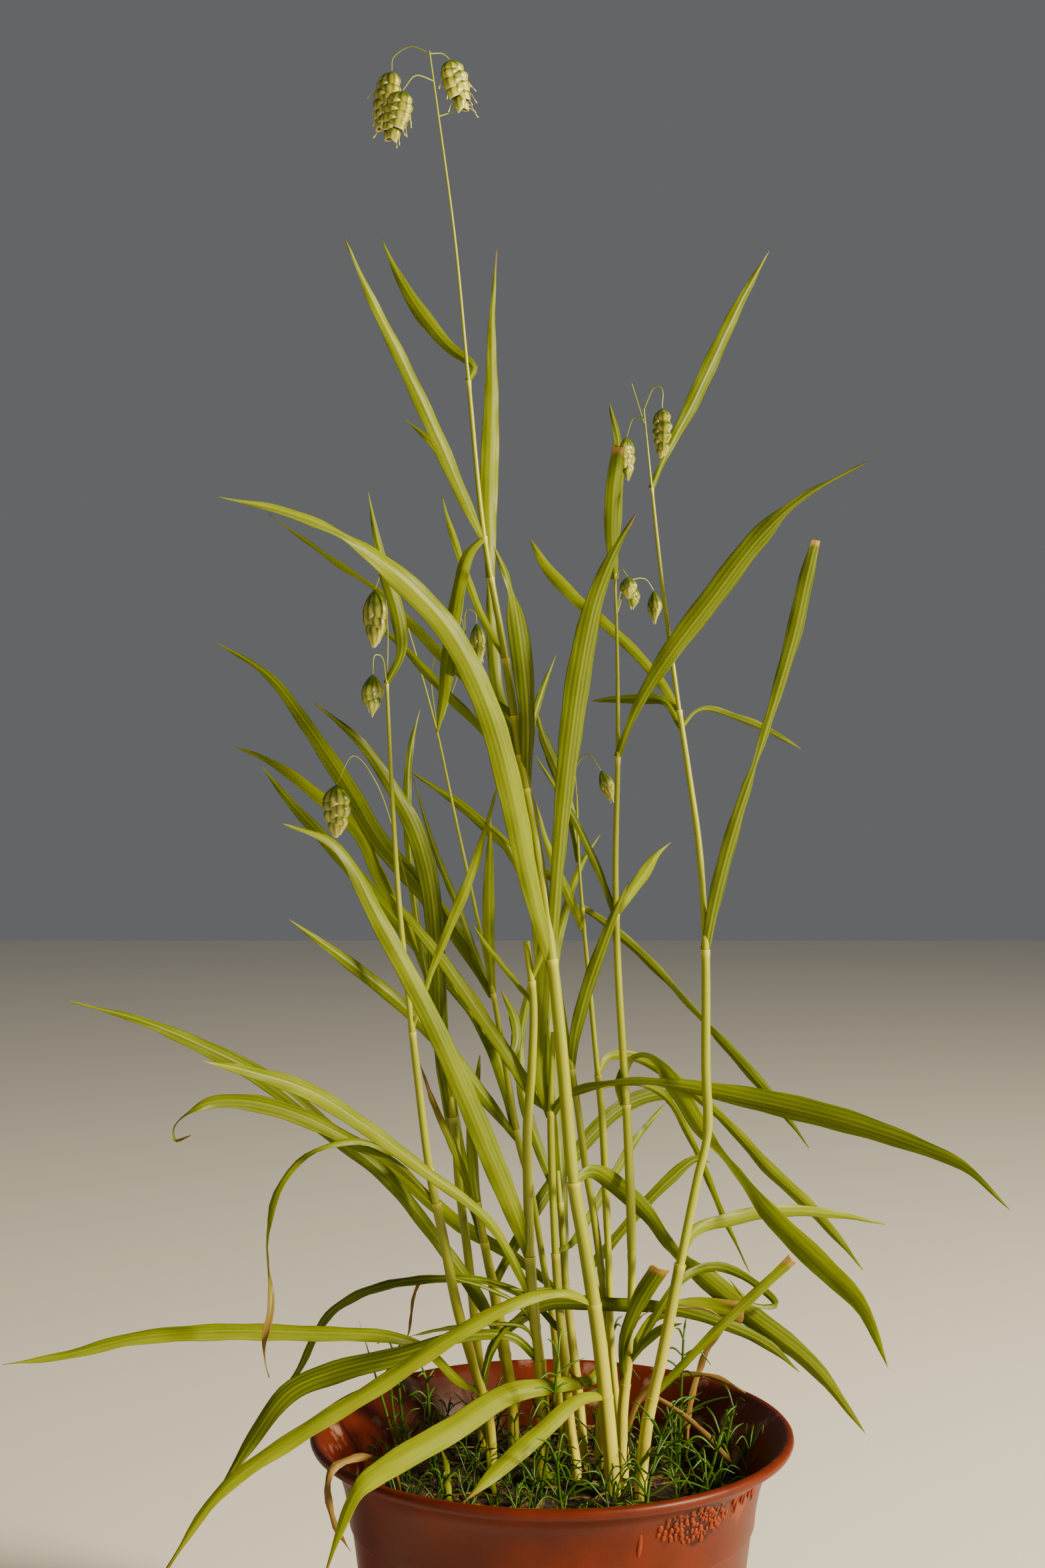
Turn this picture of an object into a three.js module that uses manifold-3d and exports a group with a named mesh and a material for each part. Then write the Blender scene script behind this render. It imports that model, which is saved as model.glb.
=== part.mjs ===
// Potted quaking grass: a clump of flowering culms with strap leaves and hanging
// spikelets, a few small weeds and dried leaves, in a plain flared plastic pot.
// Millimetres, +Z up. The origin is the middle of the pot's base, on the ground.
import * as THREE from 'three';
import { mergeVertices } from 'three/addons/utils/BufferGeometryUtils.js';
import Module from 'manifold-3d';

const wasm = await Module();
wasm.setup();

// Pot
const RIM_RADIUS = 85;
const POT_HEIGHT = 135;
const NECK_RADIUS = 71.2;
const NECK_HEIGHT = 103.5;
const STEP_IN = 0.9;
const STEP_RISE = 1;
const BASE_RADIUS = 57;
const WALL = 2;
const FLOOR = 3;
const FOOT_WIDTH = 4;
const RECESS = 1.8;
const RECESS_DRAFT = 0.5;
const PAD_RADIUS = 22;
const DRAIN_RADIUS = 4;
const DRAIN_RING = 38;
const DRAINS = 6;
const DRAIN_SIDES = 8;
const POT_SIDES = 32;

// The pot's flare, [outwards, upwards] from its neck
const FLARE = [[0, 0], [1, 8.5], [3.8, 19]];

// The rolled lip, [inwards, downwards] from the rim: its outside going up, its inside going down
const LIP_OUTSIDE = [[4.5, 5.5], [0.6, 3.5], [0, 1.75], [1.2, 0]];
const LIP_INSIDE = [[3.4, 0.6], [6.8, 5.5]];

// Soil
const SOIL_TOP = 114;
const SOIL_LUMP = 1.6;
const SOIL_PATCH = 5;
const SOIL_CRUMB = 0.9;
const SOIL_RINGS = 4;
const HOLE_DEPTH = 16;
const HOLE_SIDES = 6;
const PLUG_TOP = 2.5;
const PLUG_MIDDLE = 7;
const CLEARANCE = 0.4;

// Smallest steps, in millimetres and as a share of a stem's length
const MERGE_DISTANCE = 1e-4;
const SAME_PLACE = 1e-3;

// Blades and culms
const BLADE_THICKNESS = 0.9;
const BLADE_SLIMNESS = 0.8;
const BLADE_FOLD = 0.18;
const BLADE_LEAN = 25;
const BLADE_STEP = 20;
const SHORTEST_BLADE_STEPS = 4;
const CULM_SIDES = 5;
const CULM_STEP = 30;
const NODE_SWELL = 1.35;
const NODE_HALF = 2.2;
const PEDICEL_RADIUS = 0.5;
const PEDICEL_SIDES = 4;
const PEDICEL_STEP = 4;
const HANG_GAP = 0.35;
const DRY_ROOT_RADIUS = 1;
const DRY_ROOT_STEP = 8;

// Spikelets: overlapping florets in two ranks, raised from an egg shape widest near its top
const FLORETS = 6;
const SPIKELET_RINGS = 12;
const SPIKELET_SIDES = 6;
const FIRST_RING = 0.4;
const EGG_SKEW = 0.72;
const EGG_FULLNESS = 0.6;
const FLORET_RISE = 0.26;
const SPIKELET_DEPTH = 0.62;

// Weeds
const WEED_STEM_RADIUS = 0.7;
const WEED_STEM_STEP = 12;
const TOP_WHORL = 0.96;
const NEEDLE_RADIUS = 0.55;
const NEEDLE_SIDES = 3;
const NEEDLE_BEND = 0.12;
const NEEDLE_TIP_BEND = 1.4;
const NEEDLES_PER_WHORL = 3;
const WHORL_SPREAD = 0.6;
const NEEDLE_STEEPNESS = [0.35, 1.25];
const NEEDLE_SHARE = [0.7, 1.2];

// Looks
const WEED_COLOUR = '#6d9a2e';
const DRY_COLOUR = '#a5713c';
const SPIKELET_COLOUR = '#d8d59a';
const POT_COLOUR = '#9c4a24';
const SOIL_COLOUR = '#2e241b';
const LEAF_ROUGHNESS = 0.55;
const DRY_ROUGHNESS = 0.8;
const POT_ROUGHNESS = 0.5;
const SOIL_ROUGHNESS = 0.95;

// The tables give points as [across, up] read in the upright plane through the
// pot's axis by an eye at EYE, and each is slid along its line of sight to its depth
const EYE = new THREE.Vector3(-10.3, -721.5, 361.6);
const BACKWARDS = new THREE.Vector3(0, 1, 0);
const UPWARDS = new THREE.Vector3(0, 0, 1);

// Culms with their blades. path: the stem upwards from just above the soil. depth: at the
// soil and at the top. foot: where it stands in the soil, [x, y]. nodes: heights of joints
const CULMS = [
  {
    name: 'culm_tallest',
    colour: '#b7b44a',
    foot: [21.2, -8],
    depth: [-8, -12],
    radii: [1.9, 2.0, 1.9, 1.8, 1.7, 1.5, 1.3, 1.0, 0.75, 0.6],
    nodes: [222, 293, 437, 505],
    path: [[20, 135], [16.8, 165], [12.1, 196], [7.6, 222], [4.6, 256], [0.9, 293], [-5, 338],
      [-11, 372], [-17, 410], [-24, 450], [-29.5, 505], [-34.2, 554], [-40, 597.5], [-43.2, 620.5]],
    blades: [
      { path: [[-29.5, 504, 2], [-27.5, 509, 2.5], [-36, 516, 4], [-46, 528, 6], [-54, 541, 3],
        [-60, 554, 0]],
        reach: 22, lean: 10 },
      { path: [[-26.5, 447, 2], [-31, 463, 5], [-40, 484, 6], [-53, 512, 5], [-63, 532, 3.5],
        [-73, 554, 0]],
        reach: -34 },
      { path: [[-24.5, 447, 2], [-33, 466, 3.5], [-42, 482, 3.5], [-52.5, 491, 0]], reach: 30, lean: 40 },
      { path: [[-22.5, 435, 3], [-22, 460, 6.5], [-21.5, 478, 7], [-21, 500, 5], [-21, 525, 2.5],
        [-19.3, 551, 0]],
        reach: 24, lean: 15 },
      { path: [[-24.5, 449, 2], [-30, 442, 4.5], [-35, 420, 5.5], [-37.5, 400, 5.5], [-39, 388, 3],
        [-41, 378, 0]],
        reach: -40 },
      { path: [[-16.6, 406, 2], [-24, 420, 3], [-31, 438, 3], [-35.5, 452, 2.5],
        [-38.8, 463, 0]], reach: 26 },
      { path: [[-8, 360, 3], [-8.5, 385, 5.5], [-11, 412, 8.5], [-14, 430, 5, 60], [-20.5, 446, 0]],
        reach: -20, lean: 12 },
      { path: [[-12, 372, 3], [-18.5, 393, 4.5], [-21, 415, 4.5], [-22.5, 437, 0]], reach: 14, lean: 10 },
      { path: [[1, 296, 3.5], [-7, 325, 7], [-13.5, 357, 9.5], [-22, 388, 9], [-36, 416, 8.5],
        [-54, 435, 8.5],
        [-72, 449, 4, 55], [-94, 458, 3.5], [-117.6, 463, 0]], reach: -62, lean: 18 },
      { path: [[-13.5, 386, 3], [-33, 402, 4.5], [-47, 416, 4.5], [-58, 428, 2.5, 65], [-76, 440, 3],
        [-100, 457, 0]],
        reach: 46, lean: 30 },
      { path: [[-12, 368, 2.5], [-26, 383, 4], [-40, 397, 4], [-51, 409, 3.5],
        [-62, 418, 0]], reach: 30, lean: 35 },
      { path: [[1.5, 300, 3.5], [3.5, 345, 5.5], [7, 377, 8.5], [10.5, 402, 9.5], [15.5, 426, 6.5],
        [22, 443, 3.5], [29.7, 457, 0]], reach: -30, lean: 20 },
      { path: [[14.5, 178, 2.5], [4, 182, 3.5], [-12, 179, 5], [-33, 168, 6], [-62, 149, 6.5],
        [-88, 133, 6.5],
        [-117, 112, 5], [-140, 78, 0]], reach: -58, lean: 30 },
      { path: [[19.5, 146, 2.5], [9, 144, 5], [-4, 133, 6.5], [-18, 120.5, 6.5],
        [-31, 108, 0]], reach: -60, lean: 20 },
      { path: [[8, 221, 3], [14, 224.5, 5], [22, 220, 8], [33, 210, 6.5], [43, 196, 5, 50], [55, 186, 8.5],
        [68, 175, 9.5], [92, 156, 7], [111, 132, 0]],
        reach: [0, 6, 17, 20, 22, 24, 28, 32, 38], lean: 22 },
    ],
    stalks: [
      { path: [[-43.2, 619.5, 0], [-50, 622, 3], [-56, 618, 5], [-56.5, 613.5, 6]],
        bottom: [-60.5, 592], width: 10.5, turn: 35 },
      { path: [[-43.2, 619.5, 0], [-38.5, 619.5, 2],
        [-36, 617.5, 3]], bottom: [-31, 599], width: 9.8, turn: -20 },
      { path: [[-42.6, 609.5, 0], [-48, 611.8, -5], [-52.6, 606.6, -9]],
        bottom: [-57.2, 588.5], width: 10.5, turn: 20 },
      { path: [[-40, 597.3, 0], [-34.2, 599.2, 6]] },
    ],
  },
  {
    name: 'culm_middle',
    colour: '#aeb052',
    foot: [25.5, 6],
    depth: [6, 4],
    radii: [1.5, 1.6, 1.5, 1.5, 1.3, 1.2, 1.0, 0.8],
    nodes: [195, 250, 317, 373],
    path: [[25, 138], [27.5, 165], [28.3, 192], [26.8, 241], [25.5, 262], [23.4, 297], [22.6, 330],
      [23.4, 373], [23.2, 405], [22.4, 437]],
    blades: [
      { path: [[22.5, 434, 2.5], [21.3, 450, 5], [22, 465, 6],
        [24, 481, 4.5]], reach: -8, lean: 15, cut: true },
      { path: [[22.3, 436, 2], [24, 465, 4.5], [23.8, 482, 4.5], [20.5, 496, 0]], reach: 14, lean: 35 },
      { path: [[23.4, 371, 2.5], [30, 388, 3], [41, 406, 7], [57, 427, 8.5], [74, 449, 7.5],
        [88, 462, 3, 50],
        [111.5, 475.5, 0]], reach: -44, lean: 20 },
      { path: [[22.8, 316, 2.5], [15, 335, 3], [6, 353, 3], [-6, 372, 0]], reach: 8 },
      { path: [[22.8, 315, 2], [28, 323, 3.5], [33, 330, 5.5], [37, 336, 2.5],
        [42, 341, 0]], reach: 34, lean: 20 },
      { path: [[26, 248, 4], [24.8, 256, 5.5], [28.5, 264, 3, 60], [34, 265, 4, 60], [43, 255, 8],
        [53, 239, 6.5],
        [62, 228, 3.5, 60], [77, 209, 7.5], [94, 192, 9.5], [109, 177, 6], [119, 155, 0]],
      reach: [0, 1, 2, 0, -1, -2, -4, -10, -18, -26, -34], lean: 24 },
      { path: [[26.5, 150, 2.5], [25.5, 163, 3.5], [31, 178, 6.5],
        [38.5, 190, 7.5]], reach: -22, cut: true },
      { path: [[27.5, 160, 2], [37, 173.5, 3.5], [50, 176.5, 7.5],
        [67.8, 174.5, 8]], reach: [0, 6, 10, 8], lean: 15, cut: true },
      { path: [[26.8, 155, 2], [36, 172, 3], [45.5, 186, 3.5], [58, 191, 4], [71, 185.5, 3.5],
        [79, 178, 2.5],
        [71, 178, 2], [62.5, 187, 0]],
        reach: [0, -1, -1, 8, 10, 10, 6, 4], lean: 30 },
      { path: [[26.8, 156, 2], [33, 164, 3.5], [40, 169.5, 3.5], [46, 171, 0]], reach: -16 },
    ],
    stalks: [
      { path: [[22.9, 421, 0], [27.5, 433, 6], [33, 434, 9],
        [36, 430, 10]], bottom: [36.8, 418], width: 6, turn: 40 },
      { path: [[22.9, 421, 0], [22.6, 433, -7], [24.6, 437.5, -12],
        [26.8, 435, -14]], bottom: [27.4, 427], width: 6.5, turn: 15 },
      { path: [[22.9, 421, 0], [25.5, 432, 2],
        [29, 432.2, 3]], bottom: [28.6, 423], width: 5.5, turn: -30 },
    ],
  },
  {
    name: 'culm_right',
    colour: '#b2b34e',
    foot: [31, -9],
    depth: [-9, -6],
    radii: [1.6, 1.8, 1.8, 1.7, 1.6, 1.5, 1.2, 1.1, 0.9, 0.5],
    nodes: [142, 238, 305, 328, 392, 467],
    path: [[34, 137], [38.5, 157], [45, 190], [51.5, 222], [55, 238], [54.5, 262], [54.3, 305],
      [52, 340], [48.5, 365], [44, 395], [39, 433], [35.2, 468], [32.5, 495]],
    blades: [
      { path: [[35.3, 466, 2], [41, 479, 2.5], [49, 494, 5.5], [57, 511, 6], [67, 532, 4], [77, 550, 0]],
        reach: 36, lean: 20 },
      { path: [[54.3, 303, 3], [59, 325, 5.5], [65, 347, 5], [72, 368, 3.5, 55], [79, 391, 3.5],
        [86, 415, 6],
        [90, 433, 5.5], [93.5, 447.5, 3]], reach: -40, lean: 20, cut: true },
      { path: [[45, 388, 2.5], [37, 400, 4], [24, 414, 4], [8, 428, 5], [-2, 439, 5], [-7.5, 448, 0]],
        reach: 44, lean: 25 },
      { path: [[46.5, 382, 2], [40, 391, 3.5], [28, 392, 5], [14, 391, 0]], reach: 24, lean: 30 },
      { path: [[46.5, 382, 2], [53, 388, 2], [65, 385, 3.5], [77, 380, 3.5],
        [88, 374, 0]], reach: 40, lean: 40 },
      { path: [[36.5, 145, 2.5], [57, 167, 3.5], [85, 193.5, 3.8]], reach: -12, lean: 20, cut: true },
      { path: [[44, 192, 2.5], [50, 203, 4], [63, 207.5, 5.5], [80, 210.5, 5], [100, 209.5, 3.5],
        [118, 206, 0]],
        reach: 38, lean: 22 },
    ],
    stalks: [
      { path: [[32.5, 494, 0], [36.5, 502, -4], [39, 501, -6], [39, 494.4, -7]],
        bottom: [39, 476.5], width: 9, turn: 60 },
      { path: [[32.7, 491, 0], [29, 491, 6],
        [26.5, 484.4, 10]], bottom: [26.8, 468.5], width: 6.5, turn: -30 },
      { path: [[32.8, 487, 0], [30.5, 496, 3], [28.3, 503, 5]] },
    ],
  },
  {
    name: 'culm_left',
    colour: '#a8ab45',
    foot: [-21.5, 24],
    depth: [24, -14],
    radii: [1.4, 1.6, 1.7, 1.6, 1.5, 1.4, 1.3, 1.0],
    nodes: [146, 216, 275],
    path: [[-22.5, 138], [-26.8, 154], [-33.2, 176], [-38.6, 203], [-43.1, 225], [-47.6, 260], [-51, 290],
      [-54, 320], [-56.5, 360], [-58.3, 398]],
    blades: [
      { path: [[-58.3, 397, 2], [-53, 408, 3.5], [-54, 421, 6], [-58.5, 436, 4.5], [-62, 450, 2.5],
        [-64.8, 465, 0]],
        reach: -14, lean: 15 },
      { path: [[-48.8, 274, 1.5], [-42, 296, 2.5], [-35, 313, 4], [-28, 330, 4],
        [-19, 361, 0]], reach: -22 },
      { path: [[-41.5, 214, 2], [-55, 227.5, 3.5], [-70, 235.5, 5], [-88, 244.5, 7], [-106, 249.5, 6.5],
        [-120, 249.5, 4.5], [-128, 243, 3, 60], [-132, 236, 2], [-137, 236, 0]], reach: -36 },
      { path: [[-43.3, 226, 2], [-56, 231.5, 2.5], [-67, 235.5, 3], [-77, 234.5, 2.5], [-88, 229.5, 2],
        [-97, 218, 3.5],
        [-101, 202, 3], [-101, 175, 2.5], [-100.3, 153, 0]], reach: -44, lean: 35 },
      { path: [[-24.5, 147, 2.5], [-20.5, 163, 3.5], [-12, 171.5, 4], [-2, 177.5, 5.5], [20, 177.5, 5.5],
        [42, 176, 4.5], [60, 171, 4.5], [76, 163.5, 4.5], [87.5, 154, 0]],
        reach: [0, -5, -9, -10, -10, -12, -9, 0, 6], lean: 22 },
      { path: [[-24.5, 147, 2.5], [-33, 151, 3.5], [-42, 160, 4], [-54, 166, 4.5], [-86, 168, 6],
        [-118, 168.5, 6.5],
        [-148, 166, 5], [-172, 160, 3.5], [-194, 156.5, 0]], reach: -48, lean: 25 },
    ],
    stalks: [
      { path: [[-58.2, 396, 0], [-58, 418, 6], [-60, 436, 9], [-62.3, 430.6, 11]],
        bottom: [-62.4, 409.5], width: 9.5, turn: 25 },
      { path: [[-58.2, 396, 0], [-60, 406.5, -3], [-62.5, 407, -5], [-63.2, 400.5, -6]],
        bottom: [-63.5, 385], width: 8, turn: -25 },
    ],
  },
  {
    name: 'culm_bent',
    colour: '#b5b458',
    foot: [27.5, 16],
    depth: [16, 18],
    radii: [1.4, 1.4, 1.4, 1.4, 1.3, 1.2, 1.0, 0.8],
    nodes: [205, 258, 312],
    path: [[23.4, 140], [21, 165], [20.4, 184.5], [19.6, 205.5], [17.8, 244.5], [16, 262], [13.6, 288],
      [11.3, 312], [9.6, 335], [8.8, 358]],
    blades: [
      { path: [[16.2, 259, 2.5], [20, 265, 3.5], [27, 265.5, 4], [36, 262, 4.5], [50, 252.5, 4],
        [64, 239.5, 3.8],
        [76, 226, 5.5], [90, 213, 5.5], [101, 201, 3.5], [110, 190, 0]], reach: 42, lean: 25 },
      { path: [[16.8, 254, 2], [28, 256, 2.5], [40, 251, 3], [50, 234, 3], [60, 210, 3], [70, 189, 0]],
        reach: [0, 10, 22, 26, 26, 26], lean: 30 },
      { path: [[11.5, 310, 3], [5.5, 324, 4], [-0.5, 338, 3], [-6, 356, 0]], reach: -26 },
      { path: [[10.8, 318, 2], [20, 311.5, 3.5], [34, 299, 4], [50, 281.5, 2.5, 50], [66, 264, 4.8],
        [79, 249, 4], [91, 233, 0]], reach: 30, lean: 25 },
      { path: [[11.2, 314, 2], [2, 328, 4], [-8, 333, 4], [-20, 344, 4.5], [-33, 355, 4], [-50, 366, 0]],
        reach: 48, lean: 20 },
    ],
    stalks: [
      { path: [[8.9, 357, 0], [8.8, 368, -2], [13, 372, -5],
        [17.3, 366.5, -8]], bottom: [22, 355], width: 5.5, turn: 10 },
    ],
  },
  {
    name: 'culm_inner',
    colour: '#a9ac48',
    foot: [17.5, 23],
    depth: [23, 14],
    radii: [1.4, 1.5, 1.4, 1.3, 1.2, 1.0],
    nodes: [190, 262],
    path: [[18, 142], [19.2, 168], [18.1, 184.5], [14.5, 212], [12, 226], [9.1, 248], [6.9, 262],
      [4.5, 278], [2.5, 290]],
    blades: [
      { path: [[6.8, 261, 2.5], [8.5, 273, 4.5], [13, 290, 5], [17.5, 303, 4.5], [22, 315, 3],
        [27, 327, 0]],
        reach: -22, lean: 15 },
      { path: [[19, 160, 2.5], [15, 152, 4], [2, 149.5, 5.5], [-15, 146.5, 8], [-35, 134, 9],
        [-55, 122.5, 8.5],
        [-69, 112, 6.5, 40], [-75, 99, 4, 50], [-80, 82, 0]],
        reach: [0, -6, -18, -32, -54, -76, -96, -104, -108], lean: 12 },
      { path: [[18.6, 178, 2.5], [14, 190, 3.5], [20, 197.5, 4], [30, 209.5, 4], [42, 222, 5],
        [51, 229, 3.5], [56, 228, 0]],
        reach: 18, lean: 25 },
    ],
    stalks: [],
  },
  {
    name: 'culm_pale',
    colour: '#b9b860',
    foot: [9, 12],
    depth: [12, 18],
    radii: [1.6, 1.7, 1.6, 1.5, 1.4, 1.3, 1.1],
    nodes: [217, 247],
    path: [[6.5, 136], [4.4, 160], [2.6, 178], [1.4, 195], [0.2, 222], [-0.3, 244], [0.1, 262], [0.6, 274]],
    blades: [
      { path: [[0, 244, 3], [5, 251, 3.5], [18, 255, 4, 50], [34, 256, 4, 50], [56, 253, 6], [80, 248, 9.5],
        [104, 242, 9], [128, 234, 6], [146, 226, 3.5], [162, 211, 0]],
        reach: [0, -5, -13, -17, -17, -22, -30, -38, -46, -54], lean: 20 },
      { path: [[-0.3, 246, 3], [-4.5, 262, 4.5], [-3, 278, 5.5], [0, 295, 5], [4, 313, 3],
        [10, 332, 2.5], [17.3, 344, 0]],
        reach: 26, lean: 12 },
      { path: [[2.6, 168, 2], [-8, 180, 3], [-22, 186, 3], [-42, 187, 3.5], [-66, 182.5, 4],
        [-80, 173, 3.5],
        [-90, 154, 3], [-101, 138, 0]],
        reach: [0, 5, 8, 7, 30, 45, 54, 58], lean: 28 },
      { path: [[2, 196, 2], [8, 200, 3], [18, 216, 4], [30, 236, 3.8],
        [41, 249.5, 0]], reach: 42, lean: 30 },
    ],
    stalks: [],
  },
  {
    name: 'culm_back',
    colour: '#a39f48',
    foot: [12, 27],
    depth: [27, 44],
    radii: [1.5, 1.6, 1.6, 1.4, 1.2],
    nodes: [187],
    path: [[10, 142], [8.2, 157], [6.4, 172], [4.8, 187], [3.8, 203], [2, 225]],
    blades: [
      { path: [[3, 214, 2.5], [-4, 232, 4], [-10, 252, 4.5], [-10.5, 275, 3.5], [-4, 300, 2.5],
        [1, 312, 0]],
        reach: 34, lean: 15 },
      { path: [[5, 185, 2.5], [4, 215, 4.5], [1, 255, 6.5], [-3, 300, 6.5], [-8, 345, 4.5], [-12, 378, 0]],
        reach: 72, lean: 20 },
      { path: [[5.4, 180, 2.5], [-12, 194, 4], [-32, 206, 6], [-54, 224, 6], [-76, 239, 4.5],
        [-96, 251, 0]],
        reach: 84, lean: 20 },
    ],
    stalks: [],
  },
  {
    name: 'culm_thin',
    colour: '#8c9140',
    foot: [4.5, 33],
    depth: [33, 34],
    radii: [1.3, 1.4, 1.3, 1.2, 1.1, 0.9, 0.7, 0.5],
    nodes: [219, 286, 380],
    path: [[2.2, 150], [0.6, 170], [-2.9, 192], [-7.4, 219], [-11.9, 236], [-17.2, 267], [-20.4, 286],
      [-27.5, 320],
      [-34.5, 352], [-40.5, 380], [-47, 404], [-52, 421]],
    blades: [
      { path: [[-20.6, 287, 3], [-31, 305, 6], [-46, 325, 7.5], [-60, 341, 7.5], [-72, 361, 7.5],
        [-86, 382, 5.5],
        [-100, 400, 3.5], [-119, 412, 0]], reach: 44, lean: 18 },
      { path: [[-12.5, 240, 3], [-18, 262, 6], [-26, 281, 7.5], [-42, 300, 7], [-56, 315, 6], [-76, 338, 6],
        [-92, 355, 4], [-102.5, 368, 0]], reach: 64, lean: 18 },
      { path: [[-11.8, 236, 2], [-22, 249, 5], [-36, 267, 5.5], [-52, 283, 5], [-72, 299, 5],
        [-93, 314, 0]],
        reach: -34, lean: 18 },
      { path: [[-20.8, 288, 2.5], [-22, 306, 4.5], [-22, 328, 4.5],
        [-21.5, 350, 0]], reach: -12, lean: 12 },
    ],
    stalks: [
      { path: [[-40.3, 379.5, 0], [-31, 408, -5], [-30, 423, -7], [-27, 422, -8], [-26.5, 418.5, -8]],
        bottom: [-25.5, 404], width: 6, turn: 20 },
      { path: [[-40.3, 379.5, 0], [-36, 406, 4], [-32, 420, 5],
        [-30.5, 411.5, 5]], bottom: [-24, 404.5], width: 6, turn: -35 },
      { path: [[-40.3, 379.5, 0], [-42, 404, 2], [-36, 412, 1],
        [-31.5, 406.5, 0]], bottom: [-26, 396], width: 5.5, turn: 70 },
    ],
  },
  {
    name: 'culm_sheathed',
    colour: '#a0a53c',
    foot: [-25.5, 43],
    depth: [43, 50],
    radii: [1.5, 1.7, 1.9, 1.9, 1.9],
    nodes: [238],
    path: [[-24.5, 146], [-26.5, 165], [-29.2, 192], [-33, 222], [-34.1, 238.5], [-37, 258], [-39.5, 276]],
    blades: [
      { path: [[-36.5, 244, 4], [-39, 272, 6.5], [-40.3, 300, 6.5], [-43, 327, 7.5], [-48, 345, 7.5],
        [-56, 360, 5],
        [-67, 376, 4], [-84, 390.5, 0]], reach: -30, lean: 12 },
      { path: [[-39, 268, 2.5], [-44, 294, 2.5], [-52, 313, 3.5], [-61, 330, 6], [-68, 345, 6],
        [-84, 359, 5.5],
        [-98, 369, 3.5], [-112, 375, 0]], reach: 30, lean: 25 },
      { path: [[-39, 270, 2], [-47, 310, 3], [-50.5, 345, 3.5], [-50, 372, 3],
        [-46.5, 388, 0]], reach: 18, lean: 20 },
    ],
    stalks: [
      { path: [[-39.4, 275, 0], [-52, 330, -8], [-62, 362, -14], [-70, 371.5, -15], [-76, 361.5, -16]],
        bottom: [-76, 342.5], width: 11, turn: 15 },
    ],
  },
  {
    name: 'tiller_broad',
    colour: '#7f8430',
    foot: [-3.5, 5],
    depth: [5, 0],
    radii: [1.7, 1.9, 1.9, 1.8, 1.6, 1.4],
    nodes: [170],
    path: [[-3, 138], [-4.2, 157], [-6, 172], [-7.4, 190], [-8.3, 215], [-8.6, 240], [-7, 262],
      [-6.5, 285], [-9, 306]],
    blades: [
      { path: [[-7.4, 195, 3.5], [-13, 210, 7], [-21, 230, 8.5], [-31, 254, 8], [-43, 280, 7],
        [-60, 312, 6.5],
        [-76, 340, 5, 50], [-95, 347.5, 0]], reach: -44, lean: 15 },
      { path: [[-6.6, 180, 3], [-22, 207, 3.5], [-46, 226, 4.5], [-66, 241, 5.5], [-86, 253.5, 6.5],
        [-106, 260, 4.5],
        [-124, 264, 0]], reach: -62, lean: 20 },
      { path: [[-4.5, 158, 2.5], [-14, 166.5, 3.5], [-32, 166.5, 4], [-54, 160, 6.5], [-76, 154.5, 8.5],
        [-93, 147, 7.5],
        [-106, 130, 5.5], [-119, 109, 0]], reach: -34, lean: 18 },
      { path: [[-7, 292, 2], [-2.5, 306, 3], [-7, 322, 3.5], [-15, 338, 3],
        [-26, 350, 0]], reach: -20, lean: 20 },
    ],
    stalks: [],
  },
  {
    name: 'tiller_left',
    colour: '#84893a',
    foot: [-13.5, 39],
    depth: [39, 30],
    radii: [2.0, 2.2, 2.2, 1.8, 1.5],
    nodes: [160],
    path: [[-14.5, 148], [-16.5, 160], [-18.5, 172], [-21, 186], [-23.5, 198], [-26.3, 214]],
    blades: [
      { path: [[-17.5, 166, 3.5], [-28, 184, 5.5], [-42, 203, 5], [-58, 223, 6], [-78, 239, 6.5],
        [-100, 257, 7.5],
        [-124, 269.5, 5.5], [-146, 278.5, 3], [-171, 285, 0]], reach: -54, lean: 20 },
      { path: [[-26, 211, 3], [-27.5, 225, 4], [-28, 240, 4.5], [-26.5, 254, 3.5],
        [-25.3, 266, 0]], reach: 10, lean: 15 },
      { path: [[-21, 184, 3], [-12, 200, 4.5], [4, 225, 6], [28, 249, 6.5], [58, 253, 6], [82, 248, 4],
        [102, 242, 0]],
        reach: [0, 18, 34, 50, 62, 75, 88], lean: 20 },
      { path: [[-24, 200, 3], [-31, 226, 5], [-37, 256, 6.5], [-41, 290, 5.5], [-45, 326, 0]],
        reach: [0, 30, 46, 62, 76], lean: 20 },
    ],
    stalks: [],
  },
];

// Dried leaves, loose beside the culms: each stands in the soil on its own foot
const DRY_LEAVES = [
  { name: 'dry_leaf_right', foot: [33, 33], depth: 33, reach: -16, lean: 30,
    path: [[27, 133, 2.5], [32, 146, 2.5], [38, 150, 3], [47, 152.5, 2.5], [55, 152.5, 2],
      [62, 150, 2.5], [68.5, 146.5, 0]] },
  { name: 'dry_leaf_hook', foot: [50, 29], depth: 29, reach: 4, lean: 30,
    path: [[48, 134, 2.5], [50, 146, 2.5], [53, 156, 2.5], [56, 163, 3], [62, 170, 0]] },
  { name: 'dry_leaf_lip', foot: [-52, -22], depth: -30, reach: [0, -14, -20, -26, -29, -31, -32], lean: 30,
    path: [[-55, 118, 2.5], [-64, 124, 2.5], [-71, 123.5, 3], [-78, 119.5, 3], [-79.5, 112, 2.5],
      [-76.5, 99, 2.5],
      [-71, 90.5, 0]] },
];

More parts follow.
